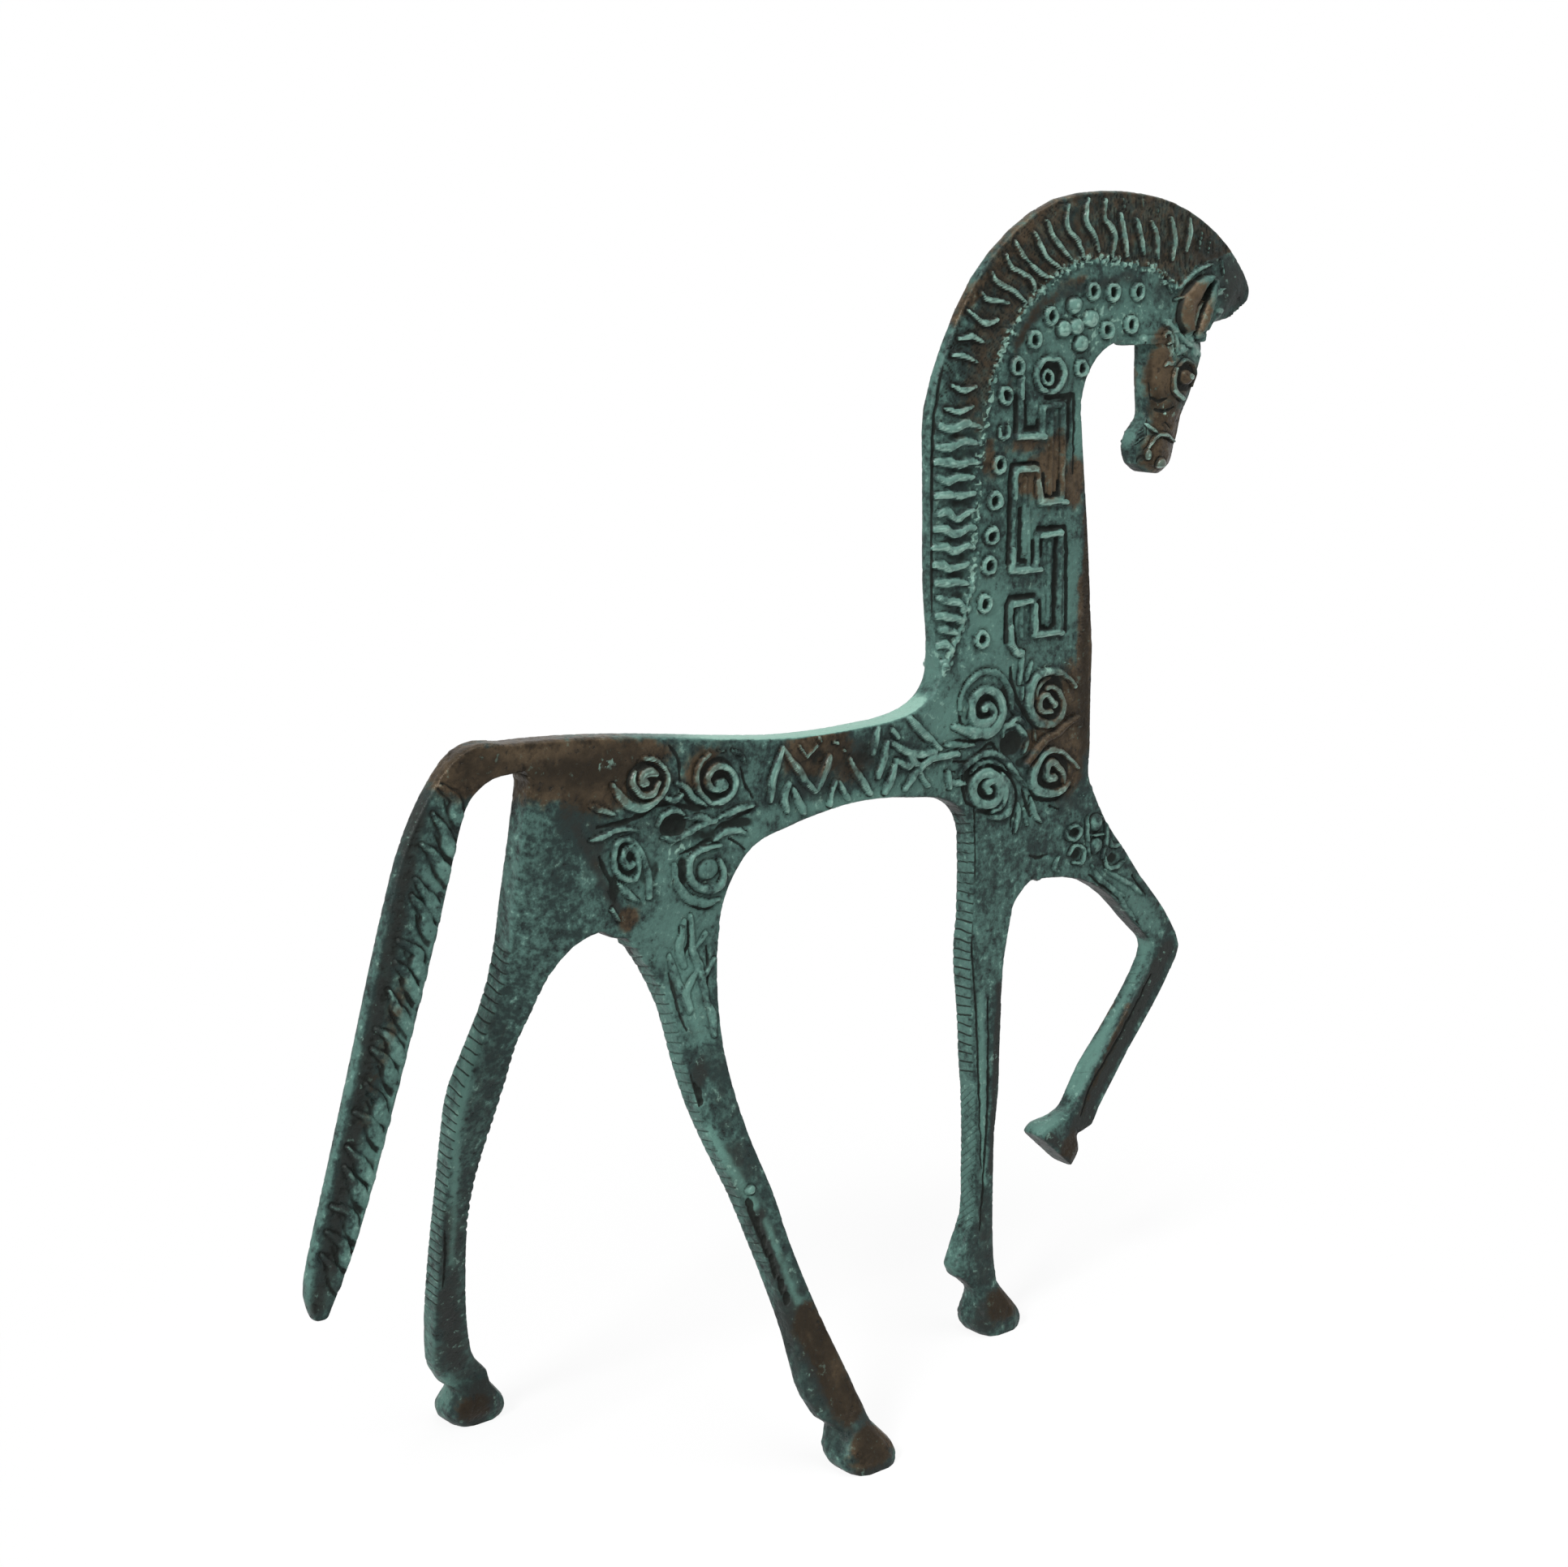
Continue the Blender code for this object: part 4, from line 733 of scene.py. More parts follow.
    def oval(self, centre, across, upright, reach):
        """Points near an oval, with their distance outside it."""
        dx = self.x - centre[0]
        dz = self.z - centre[1]
        reach = max(reach, SHELTER)
        pick = np.flatnonzero((np.abs(dx) < across + reach) & (np.abs(dz) < upright + reach))
        radius = np.hypot(dx[pick] / across, dz[pick] / upright)
        return pick, (radius - 1) * min(across, upright)

    def ball(self, centre, across, upright=None, lift=1.2, pale=0.9, cut=0.7, moat=0.5):
        """A domed boss."""
        upright = upright or across
        pick, outside = self.oval(centre, across, upright, moat)
        self.raise_up(pick, outside, np.full(len(pick), min(across, upright)), lift, pale, cut, moat)

    def ring(self, centre, across, width, upright=None, lift=1.0, pale=0.9, cut=0.75, moat=0.45, hole=1.0):
        """A stamped ring with a sunk middle."""
        upright = upright or across
        pick, outside = self.oval(centre, across, upright, moat)
        band = np.abs(outside + width / 2) - width / 2
        self.raise_up(pick, band, np.full(len(pick), width / 2), lift, pale, cut, moat)
        inner = min(across, upright) - width
        sunk = hole * (1 - ease(outside + width + inner, 0.5 * inner, 1.15 * inner))
        self.pit[pick] = np.maximum(self.pit[pick], 1.3 * sunk)

    def dome(self, centre, across, upright, rise):
        """A broad swelling of the casting, in millimetres."""
        radius = ((self.x - centre[0]) / across) ** 2 + ((self.z - centre[1]) / upright) ** 2
        self.form += rise * np.clip(1 - radius, 0, 1) ** 2

    def sink(self, centre, across, upright, depth=0.8, soft=0.7):
        """A hollow that holds dirt, between the turns of a whorl or in a pit."""
        pick, outside = self.oval(centre, across, upright, soft)
        sunk = (1 - ease(outside, -soft, soft)) * depth * (0.6 + 0.7 * self.worn[pick])
        self.pit[pick] = np.maximum(self.pit[pick], sunk)

    def hollows(self, table):
        """Hollows from a table of places, half sizes and depths."""
        for x, z, across, upright, depth in table:
            self.sink((x, z), across, upright, depth)

    def groove(self, points, width, depth=1.0, taper=0.3, smooth=True):
        """A cut line."""
        path = smooth_path(points) if smooth else np.asarray(points, float)
        pick, outside, half = self.edge(path, self.widths(path, width, taper), 0.35)
        sunk = (1 - ease(outside, -0.7 * half, 0.35)) * (0.55 + 0.8 * self.worn[pick])
        self.pit[pick] = np.maximum(self.pit[pick], sunk * depth)

    def grooves(self, paths, width, depth, **look):
        """The same cut along several paths."""
        for path in paths:
            self.groove(path, width, depth, **look)

    def hatch(self, where, angle, pitch, depth):
        """Fine scraped lines over a patch, square to the given angle in degrees."""
        turn = math.radians(angle)
        across = self.x * math.cos(turn) + self.z * math.sin(turn)
        phase = across / pitch + 1.6 * self.drift + 0.8 * self.worn
        line = comb(phase, SCRAPE_SHARPNESS)
        self.pit = np.maximum(self.pit, where * depth * line * (0.3 + self.worn))

    def inside(self, outline):
        """1 inside a closed outline, 0 outside it."""
        corners = np.asarray(outline, float)
        odd = np.zeros(len(self.x), bool)
        for (ax, az), (bx, bz) in zip(corners, np.roll(corners, -1, 0)):
            if az == bz:
                continue
            crosses = (az > self.z) != (bz > self.z)
            odd ^= crosses & (self.x < ax + (self.z - az) * (bx - ax) / (bz - az))
        return odd.astype(float)

    def patch(self, spots, streaks):
        """How strongly soft spots and streaks cover each point."""
        share = np.zeros(len(self.x))
        for x, z, across, upright, amount in spots:
            spread = ((self.x - x) / across) ** 2 + ((self.z - z) / upright) ** 2
            share = np.maximum(share, amount * np.exp(-spread))
        for ax, az, bx, bz, width, amount in streaks:
            dx = bx - ax
            dz = bz - az
            along = np.clip(((self.x - ax) * dx + (self.z - az) * dz) / (dx * dx + dz * dz), 0, 1)
            gap = np.hypot(self.x - ax - along * dx, self.z - az - along * dz)
            share = np.maximum(share, amount * np.exp(-((gap / width) ** 2)))
        return share

    def result(self):
        """Height in millimetres, and how dark the cuts are."""
        cut = np.maximum(self.cut * (1 - self.cover), self.pit * (1 - 0.92 * self.cover))
        return self.form + self.up - cut * self.cut_depth, np.clip(cut, 0, 1)


def chase_neck(tool):
    """Rings, balls, target and meander of the neck."""
    for centre in NECK_RINGS:
        tool.ring(centre, 2.3, width=1.2, lift=1.15, hole=0.8)
    turn = np.radians(np.linspace(130, 410, 15))
    open_ring = OPEN_RING + 1.6 * np.column_stack((np.cos(turn), np.sin(turn)))
    tool.stroke(open_ring, 1.0)
    for centre in NECK_BALLS:
        tool.ball(centre, 2.6, 2.15, lift=1.4, pale=1.15)
    tool.sink(TARGET_RIM, 4.4, 3.8, depth=0.9, soft=0.4)
    tool.ring(TARGET_RIM, 5.2, width=1.4, upright=4.5, lift=1.1, pale=0.75, hole=0.0)
    tool.ring(TARGET, 2.1, width=1.1)
    tool.strokes(MEANDER_FLOORS, 3.0, lift=0.45, pale=0.3, cut=0.5, smooth=False)
    tool.grooves(MEANDER_CHANNELS, 1.2, depth=1.35, taper=1, smooth=False)
    tool.stroke(MEANDER, 1.4, lift=0.8, pale=0.35, cut=0.6, moat=0.8, taper=1, smooth=False)
    tool.strokes(PALE_BARS, 2.0, lift=1.3, pale=0.95, cut=0.6, moat=0.7, taper=0.8, smooth=False)
    tool.ball(MEANDER_BUD, 2.2, 1.1, lift=1.0)
    tool.groove(NECK_RIM_LINE, 1.0)
    tool.hatch(tool.patch(NECK_SCRAPES, ()), angle=84, pitch=0.95, depth=0.75)


def chase_mane(tool):
    """Rope border, locks and bars of the mane."""
    crest = tool.inside(MANE_FIELD) * ease(tool.z, 206, 230)
    tool.pit = np.maximum(tool.pit, crest * (0.15 + 0.45 * tool.worn))
    tool.hatch(crest * ease(tool.x, 68, 78), angle=5, pitch=1.15, depth=0.85)
    tool.hatch(crest * (1 - ease(tool.x, 66, 76)), angle=58, pitch=1.15, depth=0.85)
    rope = smooth_path(MANE_ROPE, 7)
    for index, knot in enumerate(rope):
        sway = 0.7 * math.sin(2.4 * index) + 0.4 * math.sin(5.3 * index)
        size = 0.5 + 0.34 * math.sin(1.7 * index) * math.sin(0.61 * index) + 0.35 * (knot[1] < 186)
        shade = 0.45 if 186 < knot[1] < 226 else 0.8
        shade += 0.3 * math.sin(3.1 * index)
        tool.ball(knot + (sway, 0.9 * math.cos(1.9 * index)), size, lift=0.6, pale=shade, cut=0.3, moat=0.4)
    tool.stroke(MANE_ROPE[:5], (1.8, 1.8, 1.2, 0.8), lift=0.5, pale=0.7)
    tool.strokes(MANE_LOCKS, (0.7, 1.4, 1.6, 1.3, 0.7), lift=1.05, pale=1.0, cut=0.9, moat=0.6)
    tool.strokes(MANE_TIPS, 0.9, lift=0.6, pale=0.75)
    for upper, lower in zip(MANE_BARS, MANE_BARS[1:]):
        middle = (np.asarray(upper[-1]) + np.asarray(lower[-1])) / 2
        reach = middle[0] - 33.0
        centre = (middle[0] - 0.55 * reach, middle[1])
        tool.sink(centre, max(0.62 * reach, 1.2), 1.3, depth=0.55, soft=0.6)
    tool.strokes(MANE_BARS, (1.9, 2.4, 2.3, 2.0, 1.3), lift=1.1, pale=0.85, cut=0.6, moat=0.4)
    tool.groove(MANE_BACK_LINE, 1.0, depth=1.3, taper=1)
    back_x, back_z = np.transpose(MANE_BACK_LINE)
    behind = np.interp(tool.z, back_z, back_x)
    tool.up *= np.where(tool.far, ease(tool.x, behind + 1, behind + 5), 1)


def chase_head(tool):
    """Cheek, ear, eye, bridle and muzzle."""
    for x, z, across, upright, rise in HEAD_DOMES:
        tool.dome((x, z), across, upright, rise)
    tool.stroke(EAR_BACK, (2.6, 5.4, 5.8, 3.6, 1.0), lift=1.9, pale=0.0, cut=1.0, moat=0.7)
    tool.stroke(EAR_FRONT, (2.0, 3.0, 2.8, 2.2, 1.0), lift=2.1, pale=0.0, cut=1.0, moat=0.6)
    tool.groove(EAR_SLIT, 1.3, depth=2.2)
    tool.stroke(EAR_LINING, (1.4, 1.3, 0.9, 0.5), lift=0.8, pale=0.8, cut=0.3)
    tool.strokes(EAR_FRINGE, 1.2, lift=0.7, pale=0.65)
    tool.sink(EYE, 3.6, 3.4, depth=0.9, soft=0.5)
    tool.ball(EYE, 2.3, 2.1, lift=1.3, pale=0.0)
    tool.ball(PUPIL, 1.0, lift=1.7, pale=0.95)
    tool.stroke(EYE_BAG, (0.8, 1.5, 1.6, 1.3), lift=1.1, pale=0.9)
    tool.stroke(EYE_LID, 0.9, lift=0.9, pale=0.5)
    tool.stroke(CHEEK_CURL, 1.2, lift=0.9)
    tool.strokes(BRIDLE, (1.2, 2.0, 1.5, 1.6, 1.0), lift=0.55, pale=0.75, cut=0.5)
    for x, z, across, upright in HEAD_BLOOMS:
        tool.ball((x, z), across, upright, lift=0.3, pale=0.85, cut=0.2)
    tool.stroke(CHEEK_WAVE, 1.2, lift=0.5, pale=0.9, cut=0.4)
    tool.strokes(MUZZLE_LINES, 1.1, lift=0.9, pale=0.9)
    for x, z, across, upright in MUZZLE_BALLS:
        tool.ball((x, z), across, upright, lift=1.1)
    tool.ball(CHIN, 2.0, 1.8, lift=0.45, pale=0.55, cut=0.3)
    tool.strokes(CHIN_CREASES, 0.8, lift=0.5, pale=0.5)
    tool.groove(JAW_LINE, 1.1, depth=0.9)
    tool.grooves(HEAD_CRACKS, 0.6, depth=0.9)


def chase_shoulder(tool):
    """The four whorls of the shoulder and what fills the gaps."""
    tool.hollows(SHOULDER_HOLLOWS)
    for groove, width in SHOULDER_GROOVES:
        tool.groove(groove, width, depth=1.1)
    tool.strokes(PIT_LIDS, 1.5, lift=0.7, pale=0.6)
    tool.stroke(WHORL_UPPER_BACK, (1.9, 2.3, 2.5, 2.5, 2.7, 4.0, 1.6), lift=1.2, pale=0.7, moat=0.4)
    tool.ball(WHORL_UPPER_BACK[0], 1.1, lift=1.6, pale=1.0)
    tool.stroke(UPPER_BACK_ARM, 1.5, lift=0.75, pale=0.4)
    tool.stroke(WHORL_UPPER_FRONT, (1.4, 1.9, 2.3, 2.9, 2.9, 1.9, 1.2), lift=1.1, pale=0.65, moat=0.4)
    tool.stroke(UPPER_FRONT_HOOK, 1.7, lift=1.1, pale=0.8, taper=0.8)
    tool.ball(UPPER_FRONT_HOOK[0], 1.1, lift=1.3)
    tool.ball(UPPER_FRONT_TIP, 0.9, 0.6, lift=1.0)
    tool.stroke(UPPER_FRONT_ARM, 1.2, lift=0.7, pale=0.5)
    tool.stroke(WHORL_LOWER_BACK, (2.0, 2.5, 2.6, 2.8, 2.5, 1.8, 1.0), lift=1.1, pale=0.7, moat=0.4)
    tool.ball(WHORL_LOWER_BACK[0], 1.2, lift=1.5)
    for arm, width in zip(LOWER_BACK_ARMS, (1.8, 1.2, 2.8)):
        tool.stroke(arm, width, lift=0.85, pale=0.5)
    tool.stroke(WHORL_LOWER_FRONT, (2.8, 2.6, 2.2, 1.7, 1.0), lift=1.15, pale=0.75, moat=0.4)
    tool.stroke(LOWER_FRONT_ARM, (1.0, 2.1, 2.9, 2.7, 2.0, 1.5, 1.0), lift=1.1, pale=0.75)
    tool.stroke(SHOULDER_RIDGE, (1.2, 2.0, 2.0, 1.5, 0.8), lift=1.4, pale=0.0)
    tool.strokes(SHOULDER_LEAVES, 1.6, lift=0.6, pale=0.6)
    tool.strokes(CHEST_FLECKS, 0.7, lift=0.35, pale=0.6, cut=0.2)


def chase_haunch(tool):
    """The looser whorls of the haunch."""
    tool.hollows(HAUNCH_HOLLOWS)
    tool.strokes(HAUNCH_LIDS, 1.5, lift=0.7, pale=0.6)
    tool.stroke(HAUNCH_BACK_COMMA, 2.4, lift=1.3, pale=1.0, taper=0.7)
    tool.stroke(HAUNCH_BACK_COIL, 1.8, lift=1.1, pale=0.95)
    tool.stroke(HAUNCH_BACK_ARM, (1.0, 1.3, 1.5, 2.4, 2.6, 1.2), lift=1.0, pale=0.8)
    tool.stroke(HAUNCH_BACK_TOP, (0.9, 1.5, 1.1), lift=0.9, pale=0.9)
    tool.stroke(HAUNCH_FRONT_COIL, (2.0, 1.8, 1.7, 1.5, 1.4, 1.2, 0.9), lift=1.05, pale=0.75)
    tool.strokes(HAUNCH_FRONT_TOP, 0.9, lift=0.6, pale=0.6)
    tool.stroke(HAUNCH_LOW_COIL, (1.6, 1.4, 1.3, 1.4, 1.4, 1.4, 1.6), lift=0.9, pale=0.6)
    tool.stroke(HAUNCH_SQUARE_COIL, (0.9, 1.8, 1.9, 1.8, 1.3), lift=1.0, pale=0.6)
    tool.ball(HAUNCH_STONE, 3.0, 2.5, lift=0.8, pale=0.0)
    tool.stroke(HAUNCH_SWEEP, (1.0, 1.8, 2.6, 2.4, 1.0), lift=0.7, pale=0.5)
    tool.strokes(HAUNCH_LEAVES, (0.9, 1.8, 1.7, 0.8), lift=0.75, pale=0.65)
    for groove, width in HAUNCH_GROOVES:
        tool.groove(groove, width, depth=1.1)


def chase_barrel(tool):
    """Zigzag and leaves along the barrel."""
    field = tool.patch(BARREL_FIELD, ())
    tool.pit = np.maximum(tool.pit, 0.55 * field * (0.4 + tool.worn))
    tool.hatch(field, angle=82, pitch=0.85, depth=0.8)
    tool.strokes(ZIGZAG, (1.3, 2.2, 2.2, 1.5), lift=1.0, pale=0.8)
    tool.strokes(BARREL_DROPS, 1.7, lift=0.7, pale=0.95)


def chase_tail(tool):
    """Flame strokes down the inner side of the tail, and a comb of lines along its outer edge."""
    outer = tool.patch((), TAIL_OUTER)
    tool.pit = np.maximum(tool.pit, 0.5 * outer * (0.3 + tool.worn))
    tool.stroke(TAIL_BAND, (2.0, 2.6, 2.2, 2.6, 1.4), lift=0.35, pale=0.42, cut=0.0)
    for step in range(TAIL_FLAMES):
        z = FIRST_FLAME_Z - FLAME_PITCH * step - 0.9 * math.sin(2.7 * step)
        x = TAIL_TOP[0] - TAIL_LEAN * (TAIL_TOP[1] - z)
        sway = 0.7 * math.sin(2.1 * step)
        bend = 0.8 * math.cos(1.3 * step)
        root = (x - 0.2, z - 3.2)
        belly = (x - 2.0, z - 0.4)
        throat = (x - 2.8 + bend, z + 2.2)
        tip = (x - 5.8 + sway, z + 5.6 + sway)
        pale = 0.44 + 0.12 * math.sin(1.1 * step)
        tool.stroke(
            (root, belly, throat, tip), (2.8, 3.4, 2.3, 0.8), lift=0.75, pale=pale, cut=0.7, moat=0.9
        )
        furrow = ((x - 0.6, z - 5.6), (x - 2.8, z - 2.8), (x - 4.6, z + 1.6 + bend))
        tool.groove(furrow, 1.2, depth=0.7)
    tool.hatch(outer, angle=75, pitch=1.25, depth=0.7)


def chase_fore(tool):
    """Flower and sprigs of the raised leg, and seams of both fore legs."""
    for centre in FLOWER:
        tool.ball(centre, 2.2, 2.2, lift=0.9, pale=0.5)
    tool.strokes(FLOWER_LOOPS, 1.1, lift=0.8, pale=0.6)
    for eye in FLOWER_EYES:
        tool.sink(eye, 1.7, 1.3, depth=0.9)
    tool.strokes(SPRIGS, 1.4, lift=0.6, pale=0.5, cut=0.5)
    tool.grooves(FORE_SEAMS, 0.8, depth=0.9)


def chase_hind(tool):
    """Twig and bud of the near hind leg, and seams and flakes of both hind legs."""
    tool.strokes(TWIG, (1.0, 2.0, 2.2, 1.2), lift=0.55, pale=0.45, cut=0.55)
    tool.ball(HIND_BUD, 1.6, 1.3, lift=0.9, pale=1.0)
    tool.grooves(HIND_SEAMS, 0.8, depth=0.9)
    for flake in HIND_FLAKES:
        for step, spot in enumerate(smooth_path(flake, 5)):
            chip = 0.75 + 0.35 * math.sin(2.9 * step)
            sway = 0.45 * math.sin(1.9 * step)
            tool.sink(spot + (sway, 0.0), chip, 1.5 * chip, depth=1.25, soft=0.3)


def rungs(points, normal, low, high, pitch, depth, slant):
    """Depth in millimetres of a ladder of small notches along the rear edge of a leg."""
    y = points[:, 1] / MM
    z = points[:, 2] / MM
    rear = ease(-normal[:, 0], 0.5, 0.85) * ease(z, low, low + 5) * (1 - ease(z, high - 5, high))
    phase = (z + slant * y) / pitch + 0.35 * mottle(points / MM, 4.0, 21)
    return depth * rear * comb(phase, RUNG_SHARPNESS)


def teeth(points, normal, low, high, pitch, depth):
    """Depth in millimetres of the teeth along a leg's front edge."""
    z = points[:, 2] / MM
    front = ease(normal[:, 0], 0.35, 0.7) * ease(z, low, low + 4) * (1 - ease(z, high - 4, high))
    phase = z / pitch + 0.4 * mottle(points / MM, 5.0, 22)
    return depth * front * comb(phase, TOOTH_SHARPNESS)


def joint_pins(joint):
    """Meshes of the pins that cross a joint."""
    return [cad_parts[f"{joint}_dowel_{index + 1}"].data for index in range(JOINT_PINS[joint])]


def joint_plane(joint):
    """Middle and direction of a joint, from the pins that cross it."""
    middles = []
    for pin in joint_pins(joint):
        corners = np.array([v.co for v in pin.vertices])
        middles.append(corners.mean(0))
        spread = corners - corners.mean(0)
        axis = np.linalg.svd(spread, full_matrices=False)[2][0]
    return Vector(np.mean(middles, 0)), Vector(axis)


def joint_corners(node, joint):
    """A joint's middle and direction, and a casting's corners at it, brought onto its plane."""
    middle, axis = joint_plane(joint)
    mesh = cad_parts[node].data
    corners = set()
    for face in mesh.polygons:
        away = face.center - middle
        square = abs(face.normal.dot(axis)) > FACE_SQUARE
        if square and abs(away.dot(axis)) < FACE_DEPTH and away.length < FACE_REACH:
            for index in face.vertices:
                place = mesh.vertices[index].co
                corners.add((place - axis * (place - middle).dot(axis)).to_tuple(7))
    if len(corners) < 4:
        raise RuntimeError(f"joint {joint} has no face to bridge")
    return middle, axis, [Vector(corner) for corner in sorted(corners)]


def brazed_bridge(work, node, joint, overlap):
    """A thin solid over a casting's joint face, so that the skins of two castings meet."""
    _, axis, corners = joint_corners(node, joint)
    bridge = bmesh.new()
    for corner in corners:
        bridge.verts.new(corner + axis * overlap)
        bridge.verts.new(corner - axis * overlap)
    hull = bmesh.ops.convex_hull(bridge, input=bridge.verts)
    spare = [item for item in hull["geom_interior"] if isinstance(item, bmesh.types.BMVert)]
    bmesh.ops.delete(bridge, geom=spare, context="VERTS")
    bmesh.ops.recalc_face_normals(bridge, faces=bridge.faces)
    mesh = bpy.data.meshes.new("bridge")
    bridge.to_mesh(mesh)
    bridge.free()
    work.from_mesh(mesh)
    bpy.data.meshes.remove(mesh)


def past_joint(points, node, joint, overlap):
    """0 up to a joint's plane, and a rise to 1 over the part of a skin that reaches past it."""
    middle, axis, corners = joint_corners(node, joint)
    away = points - np.array(middle)
    past = away @ np.array(axis)
    if np.median(past) > 0:
        past = -past
    reach = max((corner - middle).length for corner in corners) + JOINT_MARGIN
    near = (np.linalg.norm(away, axis=1) < reach + overlap) & (past < overlap + JOINT_MARGIN)
    return near * ease(past, 0.3 * overlap, overlap)


def cast_skin(name, node, joints, grid, relief):
    """A close, even mesh over one casting, without the pin bores, that overlaps its neighbours."""
    work = bmesh.new()
    work.from_mesh(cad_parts[node].data)
    bmesh.ops.remove_doubles(work, verts=work.verts, dist=WELD_DISTANCE)
    for joint in joints:
        brazed_bridge(work, node, joint, relief.joint_overlap)
    rough = bpy.data.meshes.new(name + "_rough")
    work.to_mesh(rough)
    work.free()
    blank = bpy.data.objects.new(name + "_rough", rough)
    bpy.context.scene.collection.objects.link(blank)
    remesh = blank.modifiers.new("even", "REMESH")
    remesh.mode = "VOXEL"
    remesh.voxel_size = grid
    soften = blank.modifiers.new("soften", "SMOOTH")
    soften.factor = 0.5
    soften.iterations = relief.soften_steps
    seen = blank.evaluated_get(bpy.context.evaluated_depsgraph_get())
    skin = bpy.data.meshes.new_from_object(seen)
    bpy.data.objects.remove(blank)
    bpy.data.meshes.remove(rough)
    skin.name = name
    return skin


def read_vectors(skin, what):
    """Places or normals of all points of a skin."""
    count = len(skin.vertices)
    flat = np.empty(count * 3, np.float32)
    if what == "normal":
        skin.vertex_normals.foreach_get("vector", flat)
    else:
        skin.vertices.foreach_get("co", flat)
    return flat.reshape(-1, 3).astype(float)


def store(skin, name, values):
    """Keeps one number for each point of a skin, for its material."""
    layer = skin.attributes.new(name, "FLOAT", "POINT")
    layer.data.foreach_set("value", np.clip(values, 0, 1).astype(np.float32))


def wear_and_painted_light(tool, points, normal, lean):
    """Brown, dim, bright and pale shares of handling, weather, painted light and shade: one rule for every
    casting.
    """
    place = points / MM
    # Where handling and weather reach: the sides, the top of the mane, and the crest of each ridge, which
    # is worn verdigris with a painted highlight. Painted light lightens the upper edges of the back between
    # croup and mane, as from above, the rear of the legs, as from the left, and the lower side of each
    # ridge, as from below, over smooth and worn verdigris. Painted shade darkens the lower edges.
    face = ease(np.abs(normal[:, 1]), 0.45, 0.85)
    top = ease(normal[:, 2], 0.55, 0.9) * (1 - face)
    # Down-facing edges are painted darker through the dim share, as shade.
    under = ease(-normal[:, 2], 0.35, 0.8) * (1 - face)
    crest = tool.inside(MANE_FIELD) * ease(tool.z, 202, 228) * ease(tool.x - 0.25 * (tool.z - 204), 28, 32)
    # The back faces up, and the bright and pale shares paint it lighter, as light from above.
    back = top * ease(tool.x, -62, -30) * (1 - ease(tool.x, 28, 34))
    # Rear faces are smooth verdigris, painted lighter through the bright share, as light from the left.
    rear = ease(-normal[:, 0], 0.7, 0.9) * (1 - ease(tool.z, 100, 135)) * ease(tool.z, 24, 34)
    # The lower side of each pale ridge is worn verdigris, painted paler, as light from below.
    lip = ease(-lean, 0.12, 0.5) * np.clip(tool.pale, 0, 1)
    shelter = 0.7 * tool.shelter * face * (1 - tool.cover)
    brown = np.maximum(tool.patch(BROWN_SPOTS, BROWN_STREAKS), 0.55 * crest) * (1 - back)
    dim = tool.patch(DIM_SPOTS, DIM_STREAKS)
    dim = np.maximum.reduce((dim, 0.36 * crest * face, 0.7 * under, shelter)) * (1 - back)
    bright = np.maximum.reduce((tool.patch(BRIGHT_SPOTS, BRIGHT_STREAKS), 0.9 * back, 0.25 * rear))
    speckle = mottle(place, 1.6, 31, 3) - 0.5
    rope = tuple((*start, *end, *ROPE_DUST) for start, end in zip(MANE_ROPE, MANE_ROPE[1:]))
    dust = tool.patch(DUST_SPOTS, rope) * ease(mottle(place, 0.8, 33, 2), 0.45, 0.68)
    pale = np.maximum.reduce((0.9 * lip, 0.85 * face * tool.crest, 0.75 * back, 1.2 * face * dust))
    return brown + 0.45 * speckle, dim + 0.5 * speckle, bright, pale


def chased_casting(
    horse, name, node, joints, grid, marks, slot="verdigris_bronze", splayed=False, notches=()
):
    """Casts, chases and patinates one piece in place of its CAD node."""
    relief = horse.relief
    skin = cast_skin(name, node, joints, grid, relief)
    if not len(skin.vertices):
        raise RuntimeError(f"the skin of {node} came out empty")
    points = read_vectors(skin, "place")
    normal = read_vectors(skin, "normal")
    place = points / MM
    tool = Chaser(points, relief, splayed)
    for mark in marks:
        mark(tool)
    # How far each point faces the side: loosely for the colours, strictly for the relief.
    face = ease(np.abs(normal[:, 1]), 0.5, 0.85)
    flat = ease(np.abs(normal[:, 1]), 0.78, 0.97)
    height, dark = tool.result()
    notch = np.zeros(len(points))
    for cutter, *sizes in notches:
        notch = np.maximum(notch, cutter(points, normal, *sizes))
    grain = mottle(place, 0.9, 11, 2)
    pock = ease(0.33 - mottle(place, 0.8, 12), 0, 0.14) * (1 - 0.8 * tool.cover)
    rough = relief.grain / MM * ((grain - 0.5) * 2 - 1.5 * pock)
    dive = np.zeros(len(points))
    for joint in joints:
        dive = np.maximum(dive, JOINT_DIVE * past_joint(points, node, joint, relief.joint_overlap))
    lift = flat * height + EDGE_GAIN * (1 - flat) + rough - notch - dive
    moved = points + normal * (lift * MM)[:, None]
    skin.vertices.foreach_set("co", moved.astype(np.float32).ravel())
    skin.update()
    lean = read_vectors(skin, "normal")[:, 2] - normal[:, 2]
    brown, dim, bright, lip = wear_and_painted_light(tool, points, normal, lean)
    store(skin, "pale", face * tool.pale * (0.35 + 0.95 * tool.worn))
    store(skin, "lip", lip)
    store(skin, "cut", np.maximum.reduce((face * dark, notch / DARK_NOTCH, 0.3 * pock)))
    store(skin, "brown", brown)
    store(skin, "dim", dim)
    store(skin, "bright", bright)
    store(skin, "rim", 1 - face)
    skin.shade_smooth()
    skin.materials.clear()
    skin.materials.append(CAST_MATERIALS[slot](horse.patina))
    piece = bpy.data.objects.new(name, skin)
    bpy.context.scene.collection.objects.link(piece)
    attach(piece, "root")
    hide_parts(node)
    return piece


# Numbers of a Mix node's two colour sockets and of its colour output.
COLOUR_BELOW = 6
COLOUR_ABOVE = 7
COLOUR_MIXED = 2


